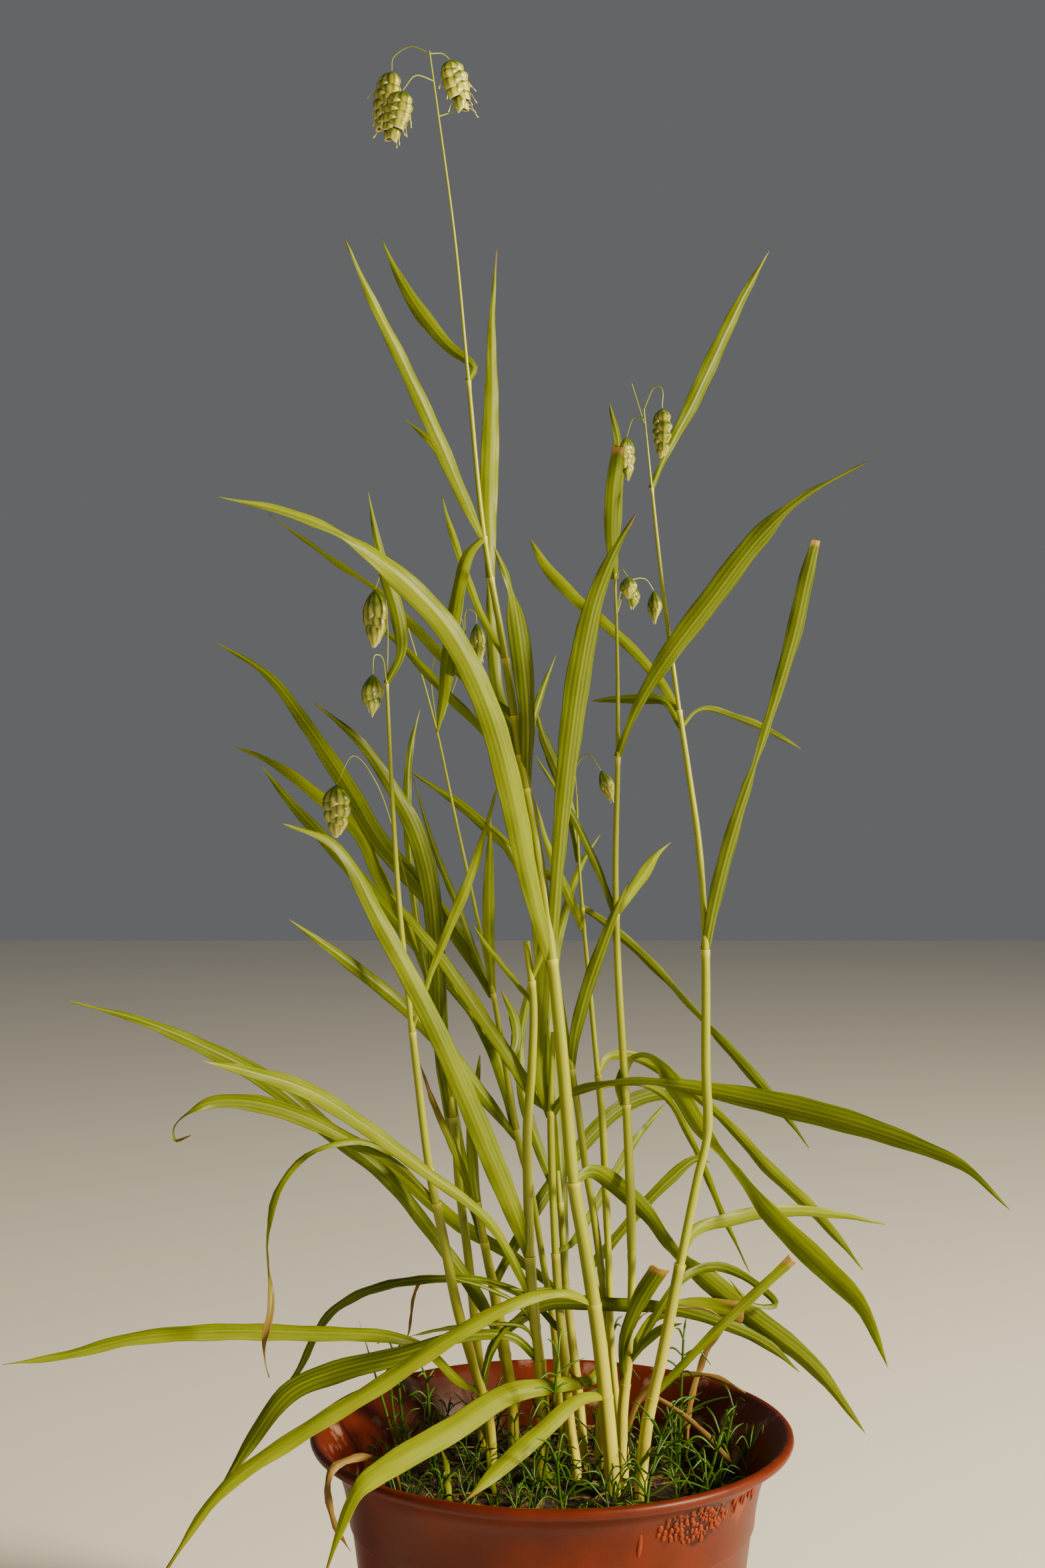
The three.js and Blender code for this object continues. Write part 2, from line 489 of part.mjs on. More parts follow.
// Weeds: foot in the soil, height, lean of the tip [x, y], whorls of needle leaves
const WEEDS = [
  { name: 'weed_bud_stem', foot: [46, 14], tip: [47.5, 12, 48], whorls: 3, needle: 9 },
  { name: 'weed_front_left', foot: [-34, -50], tip: [-37, -52, 18], whorls: 3, needle: 7 },
  { name: 'weed_front_middle', foot: [4, -50], tip: [1, -54, 26], whorls: 2, needle: 15 },
  { name: 'weed_front_right', foot: [30, -48], tip: [36, -40, 30], whorls: 3, needle: 20 },
  { name: 'weed_right', foot: [48, -28], tip: [57, -26, 26], whorls: 2, needle: 15 },
  { name: 'weed_far_right', foot: [62, 14], tip: [66, 16, 22], whorls: 1, needle: 11 },
  { name: 'weed_left', foot: [-52, 12], tip: [-56, 14, 42], whorls: 4, needle: 9 },
  { name: 'weed_left_inner', foot: [-40, 2], tip: [-44, 0, 36], whorls: 3, needle: 9 },
  { name: 'weed_centre', foot: [-4, -16], tip: [2, -18, 50], whorls: 3, needle: 12 },
  { name: 'weed_back', foot: [20, 52], tip: [24, 56, 38], whorls: 3, needle: 11 },
];

function seen(across, up, depth) {
  const stretch = (depth - EYE.y) / -EYE.y;
  return new THREE.Vector3(
    EYE.x + (across - EYE.x) * stretch,
    depth,
    EYE.z + (up - EYE.z) * stretch,
  );
}

// Seeded noise in 0..1
function noise(seed) {
  const wave = Math.sin(seed * 127.1 + 11.7) * 43758.5453;
  return wave - Math.floor(wave);
}

function lerpList(list, t) {
  const place = t * (list.length - 1);
  const low = Math.min(Math.floor(place), list.length - 2);
  return THREE.MathUtils.lerp(list[low], list[low + 1], place - low);
}

function toSolid(geometry) {
  const bare = geometry.index ? geometry.toNonIndexed() : geometry.clone();
  bare.deleteAttribute('normal');
  bare.deleteAttribute('uv');
  const merged = mergeVertices(bare, MERGE_DISTANCE);
  return new wasm.Manifold(new wasm.Mesh({
    numProp: 3,
    vertProperties: new Float32Array(merged.attributes.position.array),
    triVerts: new Uint32Array(merged.index.array),
  }));
}

function toGeometry(solid) {
  const mesh = solid.getMesh();
  const geometry = new THREE.BufferGeometry();
  geometry.setAttribute('position', new THREE.BufferAttribute(mesh.vertProperties, 3));
  geometry.setIndex(new THREE.BufferAttribute(mesh.triVerts, 1));
  geometry.computeVertexNormals();
  return geometry;
}

function fuse(solids) {
  return solids.reduce((whole, solid) => whole.add(solid));
}

// A closed skin over rings of equal count, the last ring shrunk to a point if tip is given
function skin(rings, tip) {
  const count = rings[0].length;
  const points = rings.flat();
  const faces = [];
  for (let i = 0; i + 1 < rings.length; i += 1) {
    for (let j = 0; j < count; j += 1) {
      const next = (j + 1) % count;
      const a = i * count + j;
      const b = i * count + next;
      const c = a + count;
      const d = b + count;
      if (j * 2 < count) faces.push([a, b, d], [a, d, c]);
      else faces.push([a, b, c], [b, d, c]);
    }
  }
  const last = (rings.length - 1) * count;
  for (let j = 1; j + 1 < count; j += 1) faces.push([0, j + 1, j]);
  if (tip) {
    points.push(tip);
    for (let j = 0; j < count; j += 1) {
      faces.push([last + j, last + ((j + 1) % count), points.length - 1]);
    }
  } else {
    for (let j = 1; j + 1 < count; j += 1) faces.push([last, last + j, last + j + 1]);
  }
  const geometry = new THREE.BufferGeometry().setFromPoints(points);
  geometry.setIndex(faces.flat());
  return toSolid(geometry);
}

// A strap blade along points [across, up, width, turn]: a thin rib section whose face is
// turned away from the front by turn degrees. reach is how far the tip, or each point, lies
// behind the root
function blade({ path, root, reach = 0, lean = BLADE_LEAN, cut = false }) {
  const backs = Array.isArray(reach) ? reach : [0, reach];
  const knots = path.map(([across, up], i) =>
    seen(across, up, root.y + lerpList(backs, i / (path.length - 1))));
  knots[0] = root;
  const curve = softCurve(knots);
  const steps = Math.max(SHORTEST_BLADE_STEPS, Math.round(curve.getLength() / BLADE_STEP));
  const widths = path.map((point) => point[2]);
  const turns = path.map((point) => point[3] ?? lean);
  const rings = [];
  for (let i = 0; i < steps + (cut ? 1 : 0); i += 1) {
    const t = i / steps;
    const centre = curve.getPoint(t);
    const along = curve.getTangent(t);
    const sight = centre.clone().sub(EYE).normalize();
    const side = sight.clone().cross(along).normalize();
    side.applyAxisAngle(along, THREE.MathUtils.degToRad(lerpList(turns, t)));
    const face = along.clone().cross(side).normalize();
    const half = lerpList(widths, t) / 2;
    const rib = Math.min(BLADE_THICKNESS / 2, half * BLADE_SLIMNESS);
    const lift = half * BLADE_FOLD;
    const at = (s, f) => centre.clone().addScaledVector(side, s).addScaledVector(face, f);
    rings.push([at(-half, lift), at(0, -rib), at(half, lift), at(0, rib)]);
  }
  return skin(rings, cut ? null : knots[knots.length - 1]);
}

// A round stem through points, its radius given by a function of the fraction along, with
// rings at even steps and at the stops
function tube(points, radiusAt, sides, step, stops = []) {
  const curve = softCurve(points);
  const steps = Math.max(2, Math.round(curve.getLength() / step));
  const places = [...Array(steps + 1).keys()].map((i) => i / steps).concat(stops);
  places.sort((a, b) => a - b);
  const spaced = places.filter((t, i) => i === 0 || t - places[i - 1] > SAME_PLACE);
  const rings = spaced.map((t) => {
    const centre = curve.getPoint(t);
    const along = curve.getTangent(t);
    const u = BACKWARDS.clone().cross(along).normalize();
    const v = along.clone().cross(u);
    return [...Array(sides).keys()].map((j) => {
      const angle = (2 * Math.PI * j) / sides;
      const out = u.clone().multiplyScalar(Math.cos(angle)).addScaledVector(v, Math.sin(angle));
      return centre.clone().addScaledVector(out, radiusAt(t));
    });
  });
  return skin(rings, null);
}

// The depth of a culm at a height
function depthAt(culm, up) {
  const top = culm.path[culm.path.length - 1][1];
  const share = (up - SOIL_TOP) / (top - SOIL_TOP);
  return THREE.MathUtils.lerp(culm.depth[0], culm.depth[1], THREE.MathUtils.clamp(share, 0, 1));
}

// A culm's centre line: a straight plug in its hole in the soil, then the traced line
function culmLine(culm) {
  return [...plug(culm.foot), ...culm.path.map(([across, up]) => seen(across, up, depthAt(culm, up)))];
}

// The fraction along a centre line at which it passes a height of the table
function fractionAt(culm, up) {
  const line = culmLine(culm);
  const z = seen(0, up, depthAt(culm, up)).z;
  const i = line.findIndex((point, k) => k > 0 && (point.z - z) * (line[k - 1].z - z) <= 0);
  return (i - 1 + (z - line[i - 1].z) / (line[i].z - line[i - 1].z)) / (line.length - 1);
}

function softCurve(points) {
  return new THREE.CatmullRomCurve3(points, false, 'centripetal');
}

// Where a blade or stalk grows from the middle of its culm
function rootAt(culm, up) {
  return softCurve(culmLine(culm)).getPoint(fractionAt(culm, up));
}

function culmStem(culm) {
  const line = culmLine(culm);
  const swells = culm.nodes.map((up) => fractionAt(culm, up));
  const half = NODE_HALF / softCurve(line).getLength();
  const radiusAt = (t) => {
    const plain = lerpList(culm.radii, t);
    return swells.some((s) => Math.abs(s - t) < half / 2) ? plain * NODE_SWELL : plain;
  };
  const stops = swells.flatMap((s) => [s - half, s, s + half]);
  return tube(line, radiusAt, CULM_SIDES, CULM_STEP, stops);
}

// The straight buried end of a stem, kept clear of its hole
function plug([x, y]) {
  const heights = [CLEARANCE - HOLE_DEPTH, -PLUG_MIDDLE, PLUG_TOP];
  return heights.map((height) => new THREE.Vector3(x, y, SOIL_TOP + height));
}

function spikelet(top, bottom, width, turn) {
  const along = bottom.clone().sub(top).normalize();
  const side = along.clone().cross(BACKWARDS).normalize();
  side.applyAxisAngle(along, THREE.MathUtils.degToRad(turn));
  const front = along.clone().cross(side);
  const rings = [];
  for (let i = 0; i < SPIKELET_RINGS; i += 1) {
    const share = (i + FIRST_RING) / SPIKELET_RINGS;
    const plump = (width / 2) * Math.sin(Math.PI * share ** EGG_SKEW) ** EGG_FULLNESS;
    const centre = top.clone().lerp(bottom, share);
    rings.push([...Array(SPIKELET_SIDES).keys()].map((j) => {
      const angle = (2 * Math.PI * (j + 0.5)) / SPIKELET_SIDES;
      const phase = share * FLORETS + (Math.cos(angle) > 0 ? 0 : 0.5);
      const radius = plump * (1 - FLORET_RISE * (1 - (phase - Math.floor(phase))));
      return centre.clone().addScaledVector(side, radius * Math.cos(angle))
        .addScaledVector(front, radius * SPIKELET_DEPTH * Math.sin(angle));
    }));
  }
  return skin(rings, bottom);
}

const plant = new THREE.Group();
const holes = [];

function add(name, geometry, colour, roughness) {
  const material = new THREE.MeshStandardMaterial({ color: colour, roughness, metalness: 0 });
  const mesh = new THREE.Mesh(geometry, material);
  mesh.name = name;
  plant.add(mesh);
}

function addHole(x, y, radius) {
  const bore = new THREE.CylinderGeometry(radius, radius, 2 * HOLE_DEPTH, HOLE_SIDES);
  bore.rotateX(Math.PI / 2);
  bore.translate(x, y, SOIL_TOP);
  holes.push(toSolid(bore));
}

function addCulm(culm) {
  const parts = [culmStem(culm)];
  culm.blades.forEach((entry) => {
    parts.push(blade({ ...entry, root: rootAt(culm, entry.path[0][1]) }));
  });
  culm.stalks.forEach((stalk, i) => {
    const root = rootAt(culm, stalk.path[0][1]);
    const free = stalk.path.slice(1).map(([across, up, back]) => seen(across, up, root.y + back));
    const points = [root, ...free];
    parts.push(tube(points, () => PEDICEL_RADIUS, PEDICEL_SIDES, PEDICEL_STEP));
    if (stalk.bottom) {
      const end = points[points.length - 1];
      const tip = seen(stalk.bottom[0], stalk.bottom[1], end.y);
      const top = end.clone().addScaledVector(tip.clone().sub(end).normalize(), HANG_GAP);
      const body = spikelet(top, tip, stalk.width, stalk.turn);
      add(`${culm.name}_spikelet_${i + 1}`, toGeometry(body), SPIKELET_COLOUR, LEAF_ROUGHNESS);
    }
  });
  addHole(culm.foot[0], culm.foot[1], culm.radii[0] + 2 * CLEARANCE);
  add(culm.name, toGeometry(fuse(parts)), culm.colour, LEAF_ROUGHNESS);
}

// A dried leaf with a straight root in its hole
function addDryLeaf(leaf) {
  const first = seen(leaf.path[0][0], leaf.path[0][1], leaf.depth);
  const root = tube([...plug(leaf.foot), first], () => DRY_ROOT_RADIUS, PEDICEL_SIDES, DRY_ROOT_STEP);
  addHole(leaf.foot[0], leaf.foot[1], DRY_ROOT_RADIUS + 2 * CLEARANCE);
  add(leaf.name, toGeometry(root.add(blade({ ...leaf, root: first }))), DRY_COLOUR, DRY_ROUGHNESS);
}

// A needle leaf: a slim spike bent a little at its middle
function needle(from, out, length) {
  const rise = UPWARDS.clone().multiplyScalar(length * NEEDLE_BEND);
  const middle = from.clone().addScaledVector(out, length / 2).add(rise);
  const tip = from.clone().addScaledVector(out, length).addScaledVector(rise, NEEDLE_TIP_BEND);
  const across = UPWARDS.clone().cross(out).normalize();
  const up = out.clone().cross(across).normalize();
  const ring = (centre) => [...Array(NEEDLE_SIDES).keys()].map((k) => {
    const angle = (2 * Math.PI * k) / NEEDLE_SIDES;
    return centre.clone().addScaledVector(across, NEEDLE_RADIUS * Math.cos(angle))
      .addScaledVector(up, NEEDLE_RADIUS * Math.sin(angle));
  });
  return skin([ring(from), ring(middle)], tip);
}

function addWeed(weed, index) {
  const buried = plug(weed.foot);
  const collar = buried[buried.length - 1];
  const tip = new THREE.Vector3(weed.tip[0], weed.tip[1], SOIL_TOP + weed.tip[2]);
  const parts = [tube([...buried, tip], () => WEED_STEM_RADIUS, PEDICEL_SIDES, WEED_STEM_STEP)];
  for (let w = 0; w < weed.whorls; w += 1) {
    const at = collar.clone().lerp(tip, ((w + 1) / weed.whorls) * TOP_WHORL);
    for (let k = 0; k < NEEDLES_PER_WHORL; k += 1) {
      const seed = 3 * (100 * index + 10 * w + k);
      const angle = (2 * Math.PI * (k + WHORL_SPREAD * noise(seed))) / NEEDLES_PER_WHORL;
      const steep = lerpList(NEEDLE_STEEPNESS, noise(seed + 1));
      const out = new THREE.Vector3(Math.cos(angle), Math.sin(angle), steep).normalize();
      parts.push(needle(at, out, weed.needle * lerpList(NEEDLE_SHARE, noise(seed + 2))));
    }
  }
  addHole(weed.foot[0], weed.foot[1], WEED_STEM_RADIUS + CLEARANCE);
  add(weed.name, toGeometry(fuse(parts)), WEED_COLOUR, LEAF_ROUGHNESS);
}

// The pot's outside from the foot to the lip, [radius, height]
function potOutside() {
  return [
    [BASE_RADIUS, 0],
    [NECK_RADIUS - STEP_IN, NECK_HEIGHT - STEP_RISE],
    ...FLARE.map(([out, up]) => [NECK_RADIUS + out, NECK_HEIGHT + up]),
    ...LIP_OUTSIDE.map(([inwards, down]) => [RIM_RADIUS - inwards, POT_HEIGHT - down]),
  ];
}

// The pot's inside from the floor up the wall and the flare, [radius, height]
function potInside() {
  return [
    [BASE_RADIUS - WALL, RECESS + FLOOR],
    ...FLARE.map(([out, up]) => [NECK_RADIUS - WALL + out, NECK_HEIGHT + up]),
  ];
}

function potSolid() {
  const inner = BASE_RADIUS - FOOT_WIDTH;
  const foot = [
    [PAD_RADIUS, 0],
    [PAD_RADIUS + RECESS_DRAFT, RECESS],
    [inner - RECESS_DRAFT, RECESS],
    [inner, 0],
  ];
  const lip = LIP_INSIDE.map(([inwards, down]) => [RIM_RADIUS - inwards, POT_HEIGHT - down]);
  const middle = [0, RECESS + FLOOR];
  const outline = [[0, 0], ...foot, ...potOutside(), ...lip, ...potInside().reverse(), middle];
  const profile = outline.map(([radius, height]) => new THREE.Vector2(radius, height));
  const lathe = new THREE.LatheGeometry(profile, POT_SIDES);
  lathe.rotateX(Math.PI / 2);
  const drains = [...Array(DRAINS).keys()].map((i) => {
    const angle = (2 * Math.PI * i) / DRAINS;
    const drain = new THREE.CylinderGeometry(DRAIN_RADIUS, DRAIN_RADIUS, 4 * FLOOR, DRAIN_SIDES);
    drain.rotateX(Math.PI / 2);
    drain.translate(DRAIN_RING * Math.cos(angle), DRAIN_RING * Math.sin(angle), FLOOR);
    return toSolid(drain);
  });
  return toSolid(lathe).subtract(fuse(drains));
}

function soilRing(radius, heightAt) {
  return [...Array(POT_SIDES).keys()].map((j) => {
    const angle = (2 * Math.PI * j) / POT_SIDES;
    const x = radius * Math.sin(angle);
    const y = -radius * Math.cos(angle);
    return new THREE.Vector3(x, y, heightAt(x, y));
  });
}

// Soil fills the pot into its flare, its top lumpy, with a plain hole for each stem
function soilSolid() {
  const [floor, neck, low, high] = potInside();
  const bottom = floor[1] + CLEARANCE;
  const slope = (high[0] - low[0]) / (high[1] - low[1]);
  const edge = low[0] + (SOIL_TOP - low[1]) * slope;
  const wall = [[floor[0], bottom], neck, low, [edge, SOIL_TOP]];
  const lump = (x, y) => {
    const swell = Math.sin(x / SOIL_PATCH) * Math.cos(y / SOIL_PATCH) - 1;
    return SOIL_TOP + SOIL_LUMP * swell + SOIL_CRUMB * noise(Math.round(x) + Math.round(y) / 7);
  };
  const rings = [soilRing(1, () => bottom)];
  wall.forEach(([radius, z]) => rings.push(soilRing(radius - CLEARANCE, () => z)));
  for (let i = SOIL_RINGS - 1; i > 0; i -= 1) {
    rings.push(soilRing((edge * i) / SOIL_RINGS, lump));
  }
  const solid = skin(rings, new THREE.Vector3(0, 0, SOIL_TOP));
  return solid.subtract(fuse(holes));
}

CULMS.forEach(addCulm);
DRY_LEAVES.forEach(addDryLeaf);
WEEDS.forEach(addWeed);
add('pot', toGeometry(potSolid()), POT_COLOUR, POT_ROUGHNESS);
add('soil', toGeometry(soilSolid()), SOIL_COLOUR, SOIL_ROUGHNESS);

export default plant;
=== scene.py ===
"""Looks of a potted quaking grass, built on its packed solids: fine blades with veins, round
culms with sheaths, spikelets of overlapping scales, weeds, soil and a moulded plastic pot."""
import math
import random

import bpy
import bmesh
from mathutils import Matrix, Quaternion, Vector
from mathutils import noise as smooth_noise


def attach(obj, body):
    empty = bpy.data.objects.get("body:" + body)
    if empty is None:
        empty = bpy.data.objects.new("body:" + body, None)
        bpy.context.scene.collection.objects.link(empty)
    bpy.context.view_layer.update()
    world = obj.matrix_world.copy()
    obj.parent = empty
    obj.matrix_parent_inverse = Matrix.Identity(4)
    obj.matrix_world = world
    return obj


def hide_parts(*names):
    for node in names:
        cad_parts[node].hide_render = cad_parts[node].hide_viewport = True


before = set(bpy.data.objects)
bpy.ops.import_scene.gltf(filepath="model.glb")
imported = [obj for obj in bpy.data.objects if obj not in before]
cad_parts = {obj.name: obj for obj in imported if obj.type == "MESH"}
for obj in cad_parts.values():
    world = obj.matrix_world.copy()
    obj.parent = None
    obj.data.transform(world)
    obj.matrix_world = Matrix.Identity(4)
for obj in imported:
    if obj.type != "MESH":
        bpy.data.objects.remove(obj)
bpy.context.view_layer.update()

bl_info = {
    "name": "Potted Quaking Grass",
    "version": (1, 0, 0),
    "blender": (4, 5, 0),
    "location": "View3D > Sidebar > Grass",
    "description": "Builds a potted clump of quaking grass on its packed solids",
    "category": "Add Mesh",
}

MM = 0.001

# The tables give points as [across, up] in millimetres, read in the upright plane through the
# pot's axis by an eye at EYE, and each is slid along its line of sight to its depth
EYE = Vector((-10.3, -721.5, 361.6))

# Culms. path: the stem upwards from just above the soil. depth: at the soil and at the top.
# foot: where it stands in the soil, [x, y]. radii: of the stem. nodes: heights of its joints.
# A blade's path is [across, up, width], and a point may have a lean of its own. reach: how far
# back the blade goes by its end, or at each point. lean: how far it lies back. tone: its shade of
# green, 0 to 1. A tone given in a table is partly painted light and shade: tone 1 with dry 0.3
# paints the light on a front blade's face as a paler, yellower green, and a low tone paints a
# shaded blade darker. dry: how far it has dried. dry_tip: how far its tip has, over dry_length.
# cut: it ends without a tip. A stalk's path is [across, up, back]. bottom, width, turn and
# florets are those of its spikelet
CULMS = [
  {"name": "culm_tallest", "foot": [21.2, -8], "depth": [-8, -12], "radii": [1.9, 2.0, 1.9, 1.8, 1.7, 1.5,
   1.3, 1.0, 0.75, 0.6], "nodes": [222, 293, 437, 505],
   "path": [[20, 135], [16.8, 165], [12.1, 196], [7.6, 222], [4.6, 256], [0.9, 293], [-5, 338], [-11, 372],
    [-17, 410], [-24, 450], [-29.5, 505], [-34.2, 554], [-40, 597.5], [-43.2, 620.5]],
    "blades": [
      {"path": [[-29.5, 504, 2], [-27.5, 509, 2.5], [-36, 516, 4], [-46, 528, 6], [-54, 541, 3],
        [-60, 554, 0]], "reach": 22, "lean": 10},
      {"path": [[-26.5, 447, 2], [-31, 463, 5], [-40, 484, 6], [-53, 512, 5], [-63, 532, 3.5],
        [-73, 554, 0]], "reach": -34},
      {"path": [[-24.5, 447, 2], [-33, 466, 3.5], [-42, 482, 3.5], [-52.5, 491, 0]], "reach": 30,
        "lean": 40},
      {"path": [[-22.5, 435, 3], [-22, 460, 6.5], [-21.5, 478, 7], [-21, 500, 5], [-21, 525, 2.5],
        [-19.3, 551, 0]], "reach": 24, "lean": 15, "dry_tip": 1.3},
      {"path": [[-24.5, 449, 2], [-30, 442, 4.5], [-35, 420, 5.5], [-37.5, 400, 5.5], [-39, 388, 3],
        [-41, 378, 0]], "reach": -40},
      {"path": [[-16.6, 406, 2], [-24, 420, 3], [-31, 438, 3], [-35.5, 452, 2.5], [-38.8, 463, 0]],
        "reach": 26},
      {"path": [[-8, 360, 3], [-8.5, 385, 5.5], [-11, 412, 8.5], [-14, 430, 5, 60], [-20.5, 446, 0]],
        "reach": -20, "lean": 12},
      {"path": [[-12, 372, 3], [-18.5, 393, 4.5], [-21, 415, 4.5], [-22.5, 437, 0]], "reach": 14,
        "lean": 10},
      {"path": [[1, 296, 3.5], [-7, 325, 7], [-13.5, 357, 9.5], [-22, 388, 9], [-36, 416, 8.5],
        [-54, 435, 8.5], [-72, 449, 4, 55], [-94, 458, 3.5], [-117.6, 463, 0]], "reach": -62, "lean": 18},
      {"path": [[-13.5, 386, 3], [-33, 402, 4.5], [-47, 416, 4.5], [-58, 428, 2.5, 65], [-76, 440, 3],
        [-100, 457, 0]], "reach": 46, "lean": 30},
      {"path": [[-12, 368, 2.5], [-26, 383, 4], [-40, 397, 4], [-51, 409, 3.5], [-62, 418, 0]], "reach": 30,
        "lean": 35},
      {"path": [[1.5, 300, 3.5], [3.5, 345, 5.5], [7, 377, 8.5], [10.5, 402, 9.5], [15.5, 426, 6.5],
        [22, 443, 3.5], [29.7, 457, 0]], "reach": -30, "lean": 20, "dry_tip": 1.3, "dry_length": 15},
      # The next two front blades: tone 1 and dry 0.3 paint the light on their faces as a paler, yellower
      # green
      {"path": [[14.5, 178, 2.5], [4, 182, 3.5], [-12, 179, 5], [-33, 168, 6], [-62, 149, 6.5],
        [-88, 133, 6.5], [-117, 112, 5], [-140, 78, 0]], "reach": -58, "lean": 30, "tone": 1, "dry": 0.3},
      {"path": [[19.5, 146, 2.5], [9, 144, 5], [-4, 133, 6.5], [-18, 120.5, 6.5], [-31, 108, 0]],
        "reach": -60, "lean": 20, "tone": 1, "dry": 0.3},
      {"path": [[8, 221, 3], [14, 224.5, 5], [22, 220, 8], [33, 210, 6.5], [43, 196, 5, 50], [55, 186, 8.5],
        [68, 175, 9.5], [92, 156, 7], [111, 132, 0]], "reach": [0, 6, 17, 20, 22, 24, 28, 32, 38],
        "lean": 22},
    ],
    "stalks": [
      {"path": [[-43.2, 619.5, 0], [-50, 622, 3], [-56, 618, 5], [-56.5, 613.5, 6]], "bottom": [-60.5, 592],
        "width": 10.5, "turn": 35, "florets": 11},
      {"path": [[-43.2, 619.5, 0], [-38.5, 619.5, 2], [-36, 617.5, 3]], "bottom": [-31, 599], "width": 9.8,
        "turn": -20, "florets": 10},
      {"path": [[-42.6, 609.5, 0], [-48, 611.8, -5], [-52.6, 606.6, -9]], "bottom": [-57.2, 588.5],
        "width": 10.5, "turn": 20, "florets": 11},
      {"path": [[-40, 597.3, 0], [-34.2, 599.2, 6]]},
    ]},
  {"name": "culm_middle", "foot": [25.5, 6], "depth": [6, 4], "radii": [1.5, 1.6, 1.5, 1.5, 1.3, 1.2, 1.0,
   0.8], "nodes": [195, 250, 317, 373],
   "path": [[25, 138], [27.5, 165], [28.3, 192], [26.8, 241], [25.5, 262], [23.4, 297], [22.6, 330],
    [23.4, 373], [23.2, 405], [22.4, 437]],
    "blades": [
      {"path": [[22.5, 434, 2.5], [21.3, 450, 5], [22, 465, 6], [24, 481, 4.5]], "reach": -8, "lean": 15,
        "cut": True},
      {"path": [[22.3, 436, 2], [24, 465, 4.5], [23.8, 482, 4.5], [20.5, 496, 0]], "reach": 14, "lean": 35},
      {"path": [[23.4, 371, 2.5], [30, 388, 3], [41, 406, 7], [57, 427, 8.5], [74, 449, 7.5],
        [88, 462, 3, 50], [111.5, 475.5, 0]], "reach": -44, "lean": 20},
      {"path": [[22.8, 316, 2.5], [15, 335, 3], [6, 353, 3], [-6, 372, 0]], "reach": 8},
      {"path": [[22.8, 315, 2], [28, 323, 3.5], [33, 330, 5.5], [37, 336, 2.5], [42, 341, 0]], "reach": 34,
        "lean": 20},
      {"path": [[26, 248, 4], [24.8, 256, 5.5], [28.5, 264, 3, 60], [34, 265, 4, 60], [43, 255, 8],
        [53, 239, 6.5], [62, 228, 3.5, 60], [77, 209, 7.5], [94, 192, 9.5], [109, 177, 6], [119, 155, 0]],
        "reach": [0, 1, 2, 0, -1, -2, -4, -10, -18, -26, -34], "lean": 24},
      {"path": [[26.5, 150, 2.5], [25.5, 163, 3.5], [31, 178, 6.5], [38.5, 190, 7.5]], "reach": -22,
        "cut": True},
      # Tone 1 and dry 0.3 paint the light on this front blade's face as a paler, yellower green
      {"path": [[27.5, 160, 2], [37, 173.5, 3.5], [50, 176.5, 7.5], [67.8, 174.5, 8]],
        "reach": [0, 6, 10, 8], "lean": 15, "cut": True, "tone": 1, "dry": 0.3},
      {"path": [[26.8, 155, 2], [36, 172, 3], [45.5, 186, 3.5], [58, 191, 4], [71, 185.5, 3.5],
        [79, 178, 2.5], [71, 178, 2], [62.5, 187, 0]], "reach": [0, -1, -1, 8, 10, 10, 6, 4], "lean": 30},
      {"path": [[26.8, 156, 2], [33, 164, 3.5], [40, 169.5, 3.5], [46, 171, 0]], "reach": -16},
    ],
    "stalks": [
      {"path": [[22.9, 421, 0], [27.5, 433, 6], [33, 434, 9], [36, 430, 10]], "bottom": [36.8, 418],
        "width": 6, "turn": 40, "florets": 3},
      {"path": [[22.9, 421, 0], [22.6, 433, -7], [24.6, 437.5, -12], [26.8, 435, -14]],
        "bottom": [27.4, 427], "width": 6.5, "turn": 15, "florets": 3},
      {"path": [[22.9, 421, 0], [25.5, 432, 2], [29, 432.2, 3]], "bottom": [28.6, 423], "width": 5.5,
        "turn": -30, "florets": 3},
    ]},
  {"name": "culm_right", "foot": [31, -9], "depth": [-9, -6], "radii": [1.6, 1.8, 1.8, 1.7, 1.6, 1.5, 1.2,
   1.1, 0.9, 0.5], "nodes": [142, 238, 305, 328, 392, 467],
   "path": [[34, 137], [38.5, 157], [45, 190], [51.5, 222], [55, 238], [54.5, 262], [54.3, 305], [52, 340],
    [48.5, 365], [44, 395], [39, 433], [35.2, 468], [32.5, 495]],
    "blades": [
      {"path": [[35.3, 466, 2], [41, 479, 2.5], [49, 494, 5.5], [57, 511, 6], [67, 532, 4], [77, 550, 0]],
        "reach": 36, "lean": 20},
      {"path": [[54.3, 303, 3], [59, 325, 5.5], [65, 347, 5], [72, 368, 3.5, 55], [79, 391, 3.5],
        [86, 415, 6], [90, 433, 5.5], [93.5, 447.5, 3]], "reach": -40, "lean": 20, "cut": True},
      {"path": [[45, 388, 2.5], [37, 400, 4], [24, 414, 4], [8, 428, 5], [-2, 439, 5], [-7.5, 448, 0]],
        "reach": 44, "lean": 25},
      {"path": [[46.5, 382, 2], [40, 391, 3.5], [28, 392, 5], [14, 391, 0]], "reach": 24, "lean": 30},
      {"path": [[46.5, 382, 2], [53, 388, 2], [65, 385, 3.5], [77, 380, 3.5], [88, 374, 0]], "reach": 40,
        "lean": 40},
      {"path": [[36.5, 145, 2.5], [57, 167, 3.5], [85, 193.5, 3.8]], "reach": -12, "lean": 20, "cut": True},
      {"path": [[44, 192, 2.5], [50, 203, 4], [63, 207.5, 5.5], [80, 210.5, 5], [100, 209.5, 3.5],
        [118, 206, 0]], "reach": 38, "lean": 22},
    ],
    "stalks": [
      {"path": [[32.5, 494, 0], [36.5, 502, -4], [39, 501, -6], [39, 494.4, -7]], "bottom": [39, 476.5],
        "width": 9, "turn": 60, "florets": 9},
